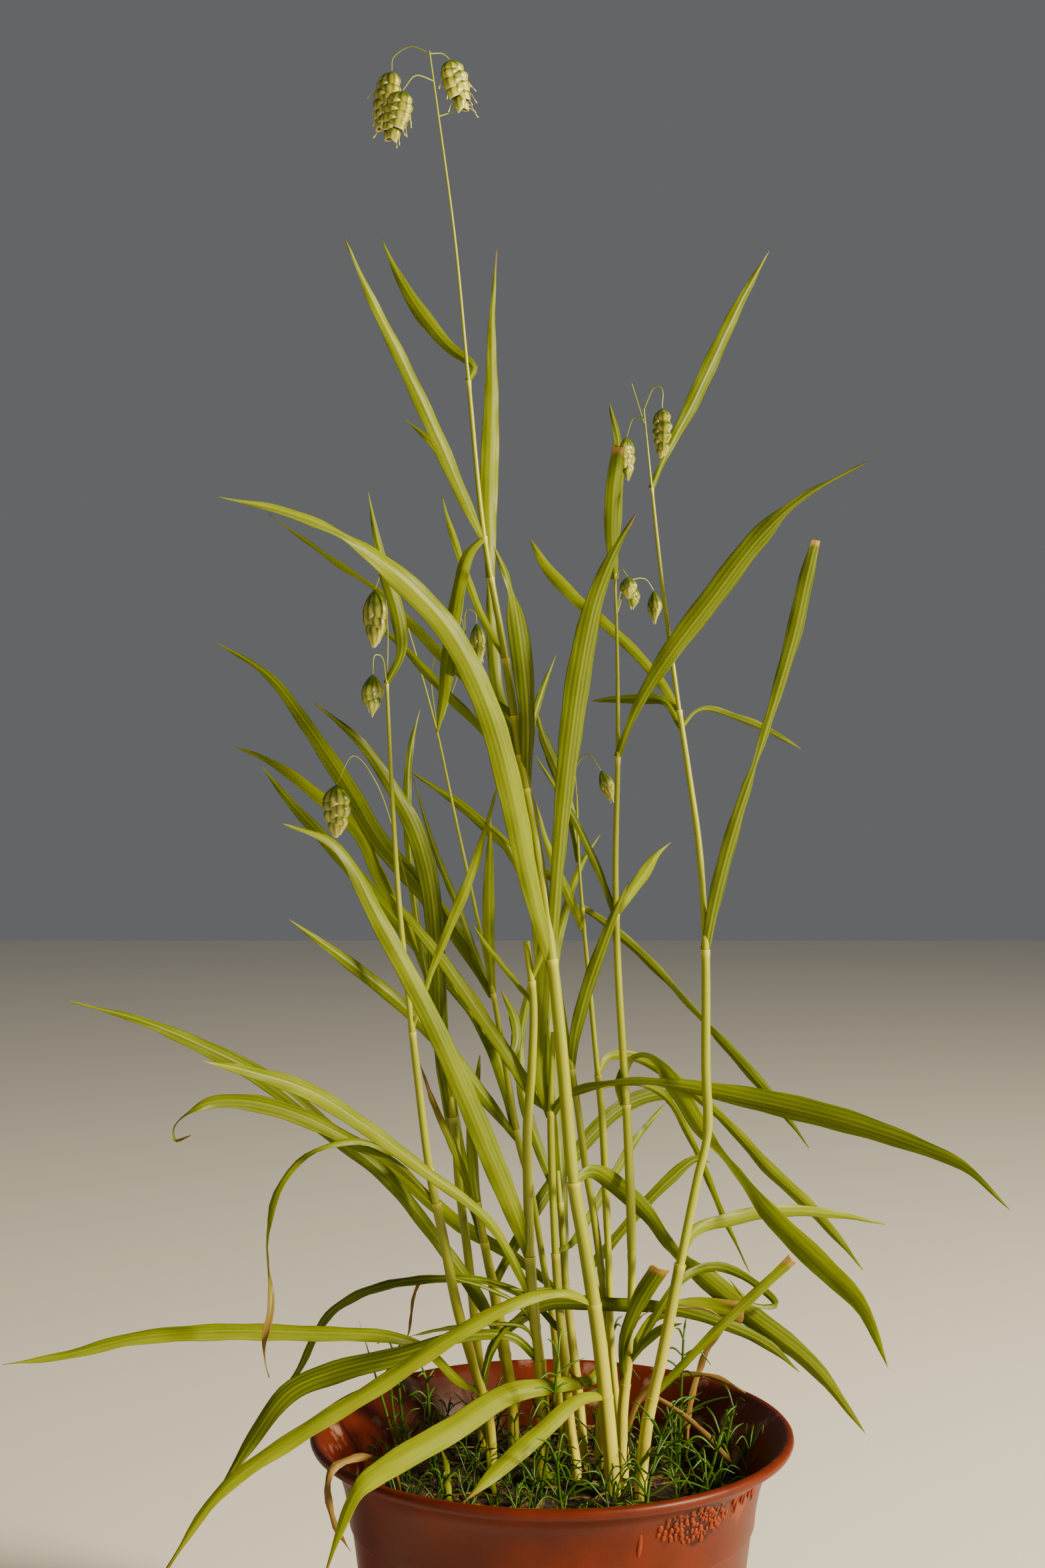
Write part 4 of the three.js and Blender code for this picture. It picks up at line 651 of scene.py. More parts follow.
def applied(piece, modifier):
    """A plain mesh of what a modifier makes of its piece. The modifier goes."""
    mesh = bpy.data.meshes.new_from_object(piece.evaluated_get(bpy.context.evaluated_depsgraph_get()))
    piece.modifiers.remove(modifier)
    return mesh


def join(piece, *others):
    """One object of several, under the first one's name."""
    with bpy.context.temp_override(active_object=piece, object=piece,
                                   selected_editable_objects=[piece, *others]):
        bpy.ops.object.join()
    return piece


# Geometry node trees

def new_tree(name, inputs, *reads):
    """An empty tree with named inputs and a finish, and all it reads: these and attributes."""
    tree = bpy.data.node_groups.new(name, "GeometryNodeTree")
    tree.interface.new_socket("Geometry", in_out="INPUT", socket_type="NodeSocketGeometry")
    for label, default in inputs.items():
        socket = tree.interface.new_socket(label, in_out="INPUT", socket_type=INPUT_KINDS[type(default)])
        if default is not None:
            socket.default_value = default
    tree.interface.new_socket("Finish", in_out="INPUT", socket_type="NodeSocketMaterial")
    tree.interface.new_socket("Geometry", in_out="OUTPUT", socket_type="NodeSocketGeometry")
    known = {socket.name: socket for socket in add_node(tree, "NodeGroupInput").outputs}
    for label in reads:
        kind = "FLOAT_VECTOR" if label in VECTORS else "FLOAT"
        known[label] = add_node(tree, "GeometryNodeInputNamedAttribute", {"data_type": kind},
                                {"Name": label}).outputs["Attribute"]
    return tree, known


def close_tree(tree, known, last):
    """Ends a tree in real, smooth geometry with its material."""
    wire(tree, known,
         ("real", "GeometryNodeRealizeInstances", (last,)),
         ("smooth", "GeometryNodeSetShadeSmooth", ("real",)),
         ("painted", "GeometryNodeSetMaterial", {"Geometry": "smooth", "Material": "Finish"}))
    add_node(tree, "NodeGroupOutput", links={0: known["painted"]})
    return tree


def grow(source, tree, name, values):
    """Runs a tree on a source object, whose place a plain mesh of the result then takes."""
    modifier = source.modifiers.new(tree.name, "NODES")
    modifier.node_group = tree
    for socket in tree.interface.items_tree:
        if socket.in_out == "INPUT" and socket.name in values:
            modifier[socket.identifier] = values[socket.name]
    mesh = applied(source, modifier)
    bpy.data.objects.remove(source)
    return linked(name, mesh)


def section(tree, known):
    """A circle of radius 1 whose points keep their place across and above as across and lift."""
    wire(tree, known,
         ("section", "GeometryNodeCurvePrimitiveCircle", {"Resolution": "Sides", "Radius": 1.0},
          {"mode": "RADIUS"}),
         ("place", "GeometryNodeInputPosition", {}),
         ("parts", "ShaderNodeSeparateXYZ", ("place",)))
    for name, value in zip(("across", "lift"), known["parts"].node.outputs):
        known["section"] = add_node(tree, "GeometryNodeStoreNamedAttribute", {"data_type": "FLOAT"},
                                    {"Geometry": known["section"], "Name": name, "Value": value}).outputs[0]


def strap_tree():
    """A folded strap along each line: across it, half_width wide, with a rippled margin."""
    sizes = {"Thickness": 0.3 * MM, "Fold": 0.18, "Ripple": 0.35 * MM, "Ripple Length": 19 * MM, "Sides": 18}
    tree, known = new_tree("Strap blade", sizes, "side", "face", "ahead", "half_width", "run", "tone",
                           "ragged", "across", "lift")
    section(tree, known)
    wire(tree, known,
         # The section is pressed flat, and remembers how far across and how high it was
         ("line", "GeometryNodeMeshToCurve", ("Geometry",)),
         ("turned", "GeometryNodeSetCurveNormal", {"Curve": "line", "Normal": "side"}, {"mode": "FREE"}),
         ("flat", "GeometryNodeTransform", {"Geometry": "section", "Scale": (1.0, 0.0, 1.0)}),
         ("swept", "GeometryNodeCurveToMesh",
          {"Curve": "turned", "Profile Curve": "flat", "Scale": "half_width", "Fill Caps": True}),

         # Every point then moves along the face: its thickness, its fold and the margin's ripple
         ("thick", CALC, ("lift", "Thickness"), "MULTIPLY"),
         ("half thick", CALC, ("thick", 0.5), "MULTIPLY"),
         ("aside", CALC, ("across",), "ABSOLUTE"),
         ("depth", CALC, ("aside", "half_width"), "MULTIPLY"),
         ("fold", CALC, ("depth", "Fold", "half thick"), "MULTIPLY_ADD"),
         ("turns", CALC, ("run", "Ripple Length"), "DIVIDE"),
         ("own start", CALC, ("across", 0.31, "tone"), "MULTIPLY_ADD"),
         ("phase", CALC, ("turns", "own start"), "ADD"),
         ("angle", CALC, ("phase", math.tau), "MULTIPLY"),
         ("wave", CALC, ("angle",), "SINE"),
         ("margin", CALC, ("across", "across"), "MULTIPLY"),
         ("swing", CALC, ("wave", "margin"), "MULTIPLY"),
         ("total", CALC, ("swing", "Ripple", "fold"), "MULTIPLY_ADD"),
         ("offset", AIM, {0: "face", "Scale": "total"}, "SCALE"),
         ("shaped", "GeometryNodeSetPosition", {"Geometry": "swept", "Offset": "offset"}),

         # A cut end is torn a little
         ("spot", "ShaderNodeCombineXYZ", ("across", "tone")),
         ("tear", NOISE, ("spot", 2.6, 2.0)),
         ("torn", RANGE, ("tear", 0.0, 1.0, -2.0, 2.0)),
         ("pull", CALC, ("torn", "ragged"), "MULTIPLY"),
         ("back", AIM, {0: "ahead", "Scale": "pull"}, "SCALE"),
         ("ended", "GeometryNodeSetPosition", {"Geometry": "shaped", "Offset": "back"}))
    return close_tree(tree, known, "ended")


def stalk_tree():
    """A round stalk along each line, as thick as its radius says."""
    tree, known = new_tree("Round stalk", {"Sides": 12}, "radius")
    section(tree, known)
    wire(tree, known,
         ("line", "GeometryNodeMeshToCurve", ("Geometry",)),
         ("swept", "GeometryNodeCurveToMesh",
          {"Curve": "line", "Profile Curve": "section", "Scale": "radius", "Fill Caps": True}))
    return close_tree(tree, known, "swept")


def scale_tree():
    """One copy of a shape at each point: its Z runs along the point's down, its X looks out."""
    tree, known = new_tree("Overlapping scales", {"Shape": None}, "down", "out", "size")
    wire(tree, known,
         ("turned", "FunctionNodeAxesToRotation", {"Primary Axis": "down", "Secondary Axis": "out"},
          {"primary_axis": "Z", "secondary_axis": "X"}),
         ("shape", "GeometryNodeObjectInfo", {"Object": "Shape"}),
         ("points", "GeometryNodeMeshToPoints", {"Mesh": "Geometry"}))
    wire(tree, known,
         ("copies", "GeometryNodeInstanceOnPoints",
          {"Points": "points", "Instance": known["shape"].node.outputs["Geometry"], "Rotation": "turned",
           "Scale": "size"}))
    return close_tree(tree, known, "copies")


def crumb_tree():
    """Crumbs scattered on the faces whose top value is 1, each a lump of its own size and turn."""
    sizes = {"Density": 90000.0, "Smallest": 0.35 * MM, "Largest": 1.5 * MM, "Seed": 7}
    tree, known = new_tree("Soil crumbs", sizes, "top")
    chance = "FunctionNodeRandomValue"
    vector = {"data_type": "FLOAT_VECTOR"}
    wire(tree, known,
         ("spread", "GeometryNodeDistributePointsOnFaces",
          {"Mesh": "Geometry", "Selection": "top", "Density": "Density", "Seed": "Seed"},
          {"distribute_method": "RANDOM"}),
         ("ball", "GeometryNodeMeshUVSphere", {"Segments": 7, "Rings": 5, "Radius": 1.0}),
         ("place", "GeometryNodeInputPosition", {}),
         ("bumps", NOISE, ("place", 1.7, 1.0)))
    wire(tree, known,
         ("centred", AIM, (known["bumps"].node.outputs["Color"], (0.5, 0.5, 0.5)), "SUBTRACT"),
         ("lump", "GeometryNodeSetPosition", {"Geometry": "ball", "Offset": "centred"}),
         ("spin", chance, {0: (0, 0, 0), 1: (math.tau, math.tau, math.tau), "Seed": "Seed"}, vector),
         ("share", chance, {2: 0.0, 3: 1.0, "Seed": "Seed"}, {"data_type": "FLOAT"}),
         ("rare", CALC, ("share", 2.5), "POWER"),
         ("size", RANGE, ("rare", 0.0, 1.0, "Smallest", "Largest")),
         ("squat", chance, {0: (0.5, 0.4, 0.3), 1: (1.5, 1.0, 0.7), "Seed": "Seed"}, vector),
         ("scale", AIM, {0: "squat", "Scale": "size"}, "SCALE"),
         ("copies", "GeometryNodeInstanceOnPoints",
          {"Points": "spread", "Instance": "lump", "Rotation": "spin", "Scale": "scale"}),
         ("shade", chance, {2: 0.0, 3: 1.0, "Seed": 3}, {"data_type": "FLOAT"}),
         ("toned", "GeometryNodeStoreNamedAttribute",
          {"Geometry": "copies", "Name": "tone", "Value": "shade"},
          {"data_type": "FLOAT", "domain": "INSTANCE"}))
    return close_tree(tree, known, "toned")


# Materials

def new_material(name, *reads):
    """An empty material, and all it reads: its place in space and attributes of the piece."""
    made = bpy.data.materials.new(name)
    made.use_nodes = True
    tree = made.node_tree
    tree.nodes.clear()
    known = {label: add_node(tree, "ShaderNodeTexCoord").outputs["Object"] if label == "place" else
             add_node(tree, "ShaderNodeAttribute", {"attribute_name": label}).outputs["Fac"]
             for label in reads}
    return made, tree, known


def close_material(made, known, roughness, gloss=0.4, through=0.0, relief=None):
    """Ends a material: its colour, its relief as strength and millimetres, and the share of the
    light that comes through it as through a thin leaf, in the colour of its glow."""
    tree = made.node_tree
    surface = {"Base Color": known["colour"], "Roughness": roughness, "Specular IOR Level": gloss}
    if relief:
        surface["Normal"] = add_node(tree, "ShaderNodeBump", links={
            "Strength": relief[0], "Distance": relief[1] * MM, "Height": known["relief"]}).outputs[0]
    shader = add_node(tree, "ShaderNodeBsdfPrincipled", links=surface)
    if through:
        glow = add_node(tree, "ShaderNodeBsdfTranslucent",
                        links={"Color": known.get("glow", known["colour"])})
        shader = add_node(tree, "ShaderNodeMixShader",
                          links={0: through, 1: shader.outputs[0], 2: glow.outputs[0]})
    add_node(tree, "ShaderNodeOutputMaterial", links={"Surface": shader.outputs[0]})
    return made


def blade_material(looks, name="living grass blade"):
    """Grass blade: veins pressed side by side, a pale midrib, margins and tip that dry to tan. Its
    face is a matt sage green. Light that comes through is bright yellow green between the veins."""
    made, tree, known = new_material(name, "place", "across", "half_width", "run", "tone", "dry",
                                     "lift", "ragged")
    wire(tree, known,
         ("aside", CALC, ("across", "half_width"), "MULTIPLY"),
         ("along", CALC, ("run", 0.03), "MULTIPLY"),
         ("grain", "ShaderNodeCombineXYZ", ("aside", "along", "tone")),
         ("streaks", NOISE, ("grain", 620.0, 3.0, 0.65)),
         ("patches", NOISE, ("place", 45.0, 3.0, 0.55)),

         # Veins: real ones stand 0.4 mm apart, which is too fine to show, so they are 1.5 mm apart
         ("wave", CALC, ("aside", math.tau / (1.5 * MM)), "MULTIPLY"),
         ("crests", CALC, ("wave",), "COSINE"),
         ("veins", RANGE, ("crests", -1.0)),

         # Green by the blade's own tone, then by patches and streaks along it. The greens run from
         # Blade Shade to Blade Light, so a tone set in the tables paints light and shade here
         ("mottled", CALC, ("patches", 0.5, "tone"), "MULTIPLY_ADD"),
         ("shade", CALC, ("streaks", 1.0, "mottled"), "MULTIPLY_ADD"),
         ("share", RANGE, ("shade", 0.85, 1.75)),
         ("greens", "ShaderNodeValToRGB", ("share",)),
         ("veined", CALC, ("veins", 0.4), "MULTIPLY"),
         ("green", MIX, ("veined", "greens", looks.blade_vein)),

         # The midrib, and the paler underside
         ("off middle", CALC, ("aside",), "ABSOLUTE"),
         ("rib", RANGE, ("off middle", 0.12 * MM, 0.45 * MM, 0.5, 0.0)),
         ("ribbed", MIX, ("rib", "green", looks.blade_vein)),
         ("below", RANGE, ("lift", 0.0, -0.3, 0.0, 0.35)),
         ("face", MIX, ("below", "ribbed", looks.blade_under)),

         # What comes through both faces: brighter with the blade's tone, dark along the veins
         ("bright", MIX, ("share", looks.blade_middle, looks.blade_glow)),
         ("dimmed", CALC, ("veins", 0.5), "MULTIPLY"),
         ("lit", MIX, ("dimmed", "bright", looks.blade_middle)),

         # Drying creeps in from the tip, the margins and a cut end
         ("margin", CALC, ("across",), "ABSOLUTE"),
         ("creep", CALC, ("margin", 0.3, "dry"), "MULTIPLY_ADD"),
         ("uneven", CALC, ("streaks", 0.6, "creep"), "MULTIPLY_ADD"),
         ("dried", RANGE, ("uneven", 0.85, 1.2)),
         ("straw", CALC, ("ragged", 1 / MM, "patches"), {"operation": "MULTIPLY_ADD", "use_clamp": True}),
         ("brown", MIX, ("straw", looks.dry_dark, looks.dry_light)),
         ("colour", MIX, ("dried", "face", "brown")),
         ("glow", MIX, ("dried", "lit", "brown")),
         ("relief", CALC, ("veins", "streaks"), "ADD"))
    ramp = known["greens"].node.color_ramp
    ramp.elements[0].color = looks.blade_dark
    ramp.elements[1].color = looks.blade_bright
    ramp.elements.new(0.5).color = looks.blade_middle
    return close_material(made, known, 0.42, 0.27, 0.5, (0.4, 0.08))


def stalk_material(looks, name="grass culm and sheath"):
    """Grass culm: a round, finely ribbed straw, pale and glossy, greener under its striped
    sheaths, with darker joints and a cream foot."""
    made, tree, known = new_material(name, "across", "run", "tone", "sheath", "joint", "pale", "brown")
    wire(tree, known,
         ("grain", "ShaderNodeCombineXYZ", ("across", "run", "tone")),
         ("drawn", "ShaderNodeMapping", {0: "grain", "Scale": (5.0, 22.0, 5.0)}),
         ("relief", NOISE, ("drawn", 1.3, 3.0, 0.6)),
         ("straw", MIX, ("relief", looks.culm_green, looks.culm_straw)),
         ("wrap", MIX, ("relief", looks.sheath_green, looks.sheath_pale)),
         ("culm", MIX, ("sheath", "straw", "wrap")),
         ("jointed", MIX, ("joint", "culm", looks.joint)),
         ("footed", MIX, ("pale", "jointed", looks.culm_foot)),
         ("colour", MIX, ("brown", "footed", looks.dry_dark)))
    return close_material(made, known, 0.38, 0.5, 0.15, (0.3, 0.08))


def scale_material(looks):
    """Spikelet scale: a papery, glossy lemma, yellow green with green nerves that run to its tip,
    and a thin clear margin. Light comes through it."""
    made, tree, known = new_material("papery spikelet scale", "place", "across", "run", "ripe")
    wire(tree, known,
         ("wave", CALC, ("across", math.tau * 3), "MULTIPLY"),
         ("crests", CALC, ("wave",), "COSINE"),
         ("relief", RANGE, ("crests", -0.3)),
         ("fade", RANGE, ("run", 0.35, 1.0, 1.0, 0.4)),
         ("strength", RANGE, ("ripe", 0.0, 1.0, 0.9, 0.85)),
         ("faded", CALC, ("relief", "fade"), "MULTIPLY"),
         ("nerves", CALC, ("faded", "strength"), "MULTIPLY"),

         # The back of a scale is greener, its bulging end paler
         ("patches", NOISE, ("place", 260.0, 2.0)),
         ("back", CALC, ("run", 0.7, "patches"), "MULTIPLY_ADD"),
         ("paling", RANGE, ("back", 0.6, 1.05)),
         ("body", MIX, ("paling", looks.scale_body, looks.scale_pale)),
         ("striped", MIX, ("nerves", "body", looks.scale_nerve)),
         ("side", CALC, ("across",), "ABSOLUTE"),
         ("rim", CALC, ("side", "run"), "MAXIMUM"),
         ("edge", RANGE, ("rim", 0.84, 1.0, 0.0, 0.7)),
         ("colour", MIX, ("edge", "striped", looks.scale_margin)))
    return close_material(made, known, 0.32, 0.6, 0.3, (0.25, 0.08))


def needle_material(looks):
    """Young spurrey-like weed: juicy round needle leaves on a thin stem, smooth and a little glossy."""
    made, tree, known = new_material("juicy needle leaf", "place", "tone")
    wire(tree, known,
         ("patches", NOISE, ("place", 220.0, 2.0)),
         ("shade", CALC, ("patches", 0.4, "tone"), "MULTIPLY_ADD"),
         ("colour", MIX, ("shade", looks.weed_dark, looks.weed_bright)))
    return close_material(made, known, 0.4, 0.4, 0.25)


def pot_material(looks):
    """Moulded polypropylene in a terracotta colour: satin, mottled by dust, with soil and lime
    stains inside, and a blistered patch below the front of the lip. Its drops and the streaks
    beside the patch are orange, partly their own colour, partly a painted highlight on the drops
    and painted light on the wall beside the patch."""
    made, tree, known = new_material("moulded polypropylene", "place", "blister", "inside")
    wire(tree, known,
         ("mottle", NOISE, ("place", 60.0, 4.0)),
         ("relief", NOISE, ("place", 900.0, 4.0)),
         ("blotch", NOISE, ("place", 170.0, 4.0)),
         ("plain", MIX, ("mottle", looks.pot_dark, looks.pot_light)),
         ("drawn", "ShaderNodeMapping", {0: "place", "Scale": (1.0, 1.0, 0.12)}),
         ("runs", NOISE, ("drawn", 420.0, 2.0)))

    # The patch, a ragged oval, and the streaks beside it, whose orange is partly painted light
    for name, centre, size, ragged in (("patch", PATCH, (16, 16, 10), "blotch"),
                                       ("run", RUNS, (9, 9, 13), "runs")):
        wire(tree, known,
             ("start", AIM, ("place", Vector(centre) * MM), "SUBTRACT"),
             ("even", AIM, ("start", Vector(size) * MM), "DIVIDE"),
             ("far", AIM, ("even",), "LENGTH"),
             ("torn", CALC, (ragged, 1.6, "far"), "MULTIPLY_ADD"),
             (name, RANGE, ("torn", 1.45, 1.7, 1.0, 0.0)))
    wire(tree, known,
         ("patched", MIX, ("patch", "plain", looks.pot_patch)),
         # The drops, drips, nick and streaks are orange: partly their own colour, partly a painted highlight
         # on the drops and painted light on the wall beside the patch
         ("orange", CALC, ("run", "blister"), "MAXIMUM"),
         ("rust", CALC, ("orange", "mottle"), "MULTIPLY"),
         ("rusted", MIX, ("rust", "patched", looks.pot_orange_and_highlight)),

         # Inside, soil dust all round and lime where water stood
         ("dust", CALC, ("inside", "relief"), "MULTIPLY"),
         ("dusty", MIX, ("dust", "rusted", looks.pot_inside)),
         ("spots", RANGE, ("mottle", 0.57, 0.64, 0.0, 0.5)),
         ("lime", CALC, ("spots", "inside"), "MULTIPLY"),
         ("colour", MIX, ("lime", "dusty", looks.pot_lime)),
         ("roughness", RANGE, ("mottle", 0.0, 1.0, 0.32, 0.52)))
    return close_material(made, known, known["roughness"], 0.2, relief=(0.5, 0.1))


def soil_material(looks):
    """Damp peat potting soil: matt, dark, in crumbs, some of them pale."""
    made, tree, known = new_material("peat potting soil", "place", "tone")
    wire(tree, known,
         ("grain", NOISE, ("place", 520.0, 6.0, 0.7)),
         ("relief", "ShaderNodeTexVoronoi", {"Vector": "place", "Scale": 420.0}),
         ("own", CALC, ("tone", 0.45), "MULTIPLY"),
         ("shade", CALC, ("grain", 0.6, "own"), "MULTIPLY_ADD"),
         ("colour", "ShaderNodeValToRGB", ("shade",)))
    low, high = known["colour"].node.color_ramp.elements
    low.position, low.color = 0.25, looks.soil_dark
    high.position, high.color = 0.8, looks.soil_light
    return close_material(made, known, 0.95, relief=(0.8, 0.5))


# Settings

def colour_of(name, description, code):
    """A colour setting whose default is an sRGB hex colour."""
    return bpy.props.FloatVectorProperty(name=name, description=description, subtype="COLOR", size=4,
                                         min=0, max=1, default=linear(code))


def length_of(name, description, millimetres):
    """A length setting."""
    return bpy.props.FloatProperty(name=name, description=description, unit="LENGTH", min=0,
                                   precision=5, default=millimetres * MM)


def count_of(name, description, number, least=0):
    """A setting that is a whole number."""
    return bpy.props.IntProperty(name=name, description=description, subtype="UNSIGNED", min=least,
                                 default=number)


class GrassSettings(bpy.types.PropertyGroup):
    """Sizes and colours of the culms and blades."""
    thickness: length_of("Blade Thickness", "Thickness of a blade at its midrib", 0.3)
    fold: bpy.props.FloatProperty(name="Blade Fold", description="How far a blade's margins stand up",
                                  subtype="FACTOR", min=0, max=1, default=0.36)
    ripple: length_of("Margin Ripple", "How far a blade's margins wave up and down", 0.35)
    ripple_length: length_of("Ripple Length", "Length of one wave of a margin", 19)
    litter: count_of("Litter", "Dry strips that lie on the soil", 130)
    sheath: length_of("Sheath Thickness", "How far a sheath stands out from what it wraps", 0.14)
    # Blade Shade to Blade Light: the greens that tone picks between, painted light and shade where the tables
    # set a tone
    blade_dark: colour_of("Blade Shade", "Darkest green of the blades", "#213602")
    blade_middle: colour_of("Blade Green", "Usual green of the blades", "#5b6a02")
    blade_bright: colour_of("Blade Light", "Brightest yellow green of the blades", "#96a002")
    blade_glow: colour_of("Blade Glow", "Colour of light that comes through a blade", "#e0ea10")
    blade_vein: colour_of("Blade Veins", "Pale veins and midrib", "#a5b018")
    blade_under: colour_of("Blade Underside", "Paler underside", "#6d7a1a")
    dry_dark: colour_of("Dry Brown", "Darker brown of dried tips", "#6b4a22")
    dry_light: colour_of("Dry Tan", "Lighter tan of dried tips", "#b8984c")
    culm_green: colour_of("Culm Green", "Greener streaks of a culm", "#748404")
    culm_straw: colour_of("Culm Straw", "Yellow straw of a culm", "#a8ac0c")
    sheath_green: colour_of("Sheath Green", "Greener streaks of a sheath", "#667604")
    sheath_pale: colour_of("Sheath Pale", "Paler streaks of a sheath", "#a4a50c")
    joint: colour_of("Joint", "Joints of a culm", "#727a10")
    culm_foot: colour_of("Culm Foot", "Cream foot of a culm", "#e0d248")


class SpikeletSettings(bpy.types.PropertyGroup):
    """Sizes and colours of the spikelets."""
    scale_body: colour_of("Scale Green", "Greener part of a scale", "#5c6e06")
    scale_pale: colour_of("Scale Cream", "Paler part of a scale", "#c8c44a")
    scale_nerve: colour_of("Scale Nerves", "Green nerves of a scale", "#364e04")
    scale_margin: colour_of("Scale Margin", "Clear white margin of a scale", "#efe8b0")


class WeedSettings(bpy.types.PropertyGroup):
    """Sizes and colours of the weeds."""
    needle: length_of("Needle Thickness", "Thickness of a needle leaf", 0.8)
    seedlings: count_of("Seedlings", "Seedlings that cover the soil", 90)
    weed_dark: colour_of("Weed Shade", "Darker green of the weeds", "#183202")
    weed_bright: colour_of("Weed Light", "Brighter green of the weeds", "#4a7004")


class PotSettings(bpy.types.PropertyGroup):
    """Faces and colours of the pot."""
    segments: count_of("Segments", "Faces around the pot", 160, 48)
    pot_dark: colour_of("Pot Shade", "Darker terracotta of the plastic", "#380c00")
    pot_light: colour_of("Pot Light", "Lighter terracotta of the plastic", "#641e00")
    pot_patch: colour_of("Blister Patch", "Rusty red of the blistered patch", "#2a0600")
    # Orange of the drops and streaks, partly their own colour, partly a painted highlight and painted light
    pot_orange_and_highlight: colour_of("Rust Run", "Orange of the runs and between the blisters", "#8a3000")
    pot_lime: colour_of("Lime Stain", "Greyish white stain inside", "#a08878")
    pot_inside: colour_of("Pot Inside", "Soil brown that stains the inside", "#5a1e06")


class SoilSettings(bpy.types.PropertyGroup):
    """Sizes and colours of the soil."""
    density: count_of("Crumb Density", "Crumbs on a square metre", 90000)
    largest: length_of("Largest Crumb", "Size of the largest crumb", 1.5)
    soil_dark: colour_of("Soil Dark", "Damp peat", "#1d140d")
    soil_light: colour_of("Soil Light", "Dry crumbs", "#6b5138")


class StageSettings(bpy.types.PropertyGroup):
    """Floor and light."""
    floor: colour_of("Floor", "Colour of the plain floor", "#e9e4da")
    key_power: bpy.props.FloatProperty(name="Main Light", description="Power of the main light", unit="POWER",
                                       min=0, default=140)
    fill_power: bpy.props.FloatProperty(name="Fill Light", description="Power of the fill light",
                                        unit="POWER", min=0, default=8)


# Stems and blades

def ground(across, up):
    """The point of the soil that the eye sees at this place of the upright plane."""
    stretch = (SOIL_TOP - EYE.z) / (up - EYE.z)
    return seen(across, up, EYE.y * (1 - stretch))


def plug(foot):
    """The stretch of a stem in its hole and just above the soil."""
    return [Vector((foot[0], foot[1], SOIL_TOP + height))
            for height in (CLEARANCE - HOLE_DEPTH, -PLUG_MIDDLE, PLUG_TOP)]


def depth_at(culm, up):
    """How far back the culm stands at a height."""
    share = (up - SOIL_TOP) / (culm["path"][-1][1] - SOIL_TOP)
    return culm["depth"][0] + (culm["depth"][1] - culm["depth"][0]) * min(max(share, 0), 1)


def culm_line(culm):
    return plug(culm["foot"]) + [seen(x, up, depth_at(culm, up)) for x, up in culm["path"]]


def share_at(culm, up):
    """The fraction along the culm at which it passes a height of the table."""
    line = culm_line(culm)
    z = seen(0, up, depth_at(culm, up)).z
    i = next(k for k in range(1, len(line)) if (line[k].z - z) * (line[k - 1].z - z) <= 0)
    return (i - 1 + (z - line[i - 1].z) / (line[i].z - line[i - 1].z)) / (len(line) - 1)


def root_at(culm, up):
    """The point of the culm at a height, from which a blade or a stalk springs."""
    return soft_point(culm_line(culm), share_at(culm, up))


def add_strip(lines, points, ahead, sides, widths, **facts):
    """A strap's centre line, with the way that its width lies and its width at each point."""
    faces = [along.cross(side).normalized() for along, side in zip(ahead, sides)]
    lines.add(points, side=sides, face=faces, ahead=ahead, half_width=[width / 2 * MM for width in widths],
              run=[length * MM for length in measured(points)], **facts)


def add_blade(lines, entry, root, tone, dry=0.0):
    """One blade's centre line, with its width, its turn and how far it has dried at each point."""
    path, cut = entry["path"], entry.get("cut")
    reach = entry.get("reach", 0)
    backs = reach if isinstance(reach, list) else [0, reach]
    last = len(path) - 1
    knots = [root] + [seen(*path[i][:2], root.y + lerp_list(backs, i / last)) for i in range(1, last + 1)]
    points, shares, ahead = soft_line(knots, RING_STEP)
    turns = [point[3] if len(point) > 3 else entry.get("lean", BLADE_LEAN) for point in path]
    given = [point[2] for point in path]
    sides, widths, dryness, ragged = [], [], [], []
    total = measured(points)[-1]
    soft = 0.4 / last
    for point, share, along in zip(points, shares, ahead):
        sides.append(aside((point - EYE).normalized(), along, along, math.radians(lerp_list(turns, share))))
        near = lerp_list(given, max(share - soft, 0))
        far = lerp_list(given, min(share + soft, 1))
        width = (near + far + 2 * lerp_list(given, share)) / 4
        widths.append(width if cut or share < 1 else BLADE_POINT)
        left = (1 - share) * total
        tip = max(0, 1 - left / entry.get("dry_length", DRY_TIP))
        end = max(0, 1 - left / CUT_BROWN) if cut else 0
        dryness.append(dry + entry.get("dry_tip", 0.55) * tip + 0.7 * end)
        ragged.append(0.9 * MM * max(0, 1 - left / CUT_TORN) if cut else 0.0)
    add_strip(lines, points, ahead, sides, widths, dry=dryness, ragged=ragged, tone=tone)


def add_stalk(lines, points, radii, tone=0.5, sheath=0.0, joint=0.0, pale=0.0, brown=0.0):
    run = [0.0]
    for before, after in zip(points, points[1:]):
        run.append(run[-1] + (after - before).length * MM)
    lines.add(points, radius=[radius * MM for radius in radii], run=run, tone=tone, sheath=sheath,
              joint=joint, pale=pale, brown=brown)


def stem_radius(culm, share):
    """A stem's own radius: a little slimmer than its solid, more so towards a thin top."""
    return lerp_list(culm["radii"], share) * (0.97 - (0.55 if culm["stalks"] else 0.15) * share**3)


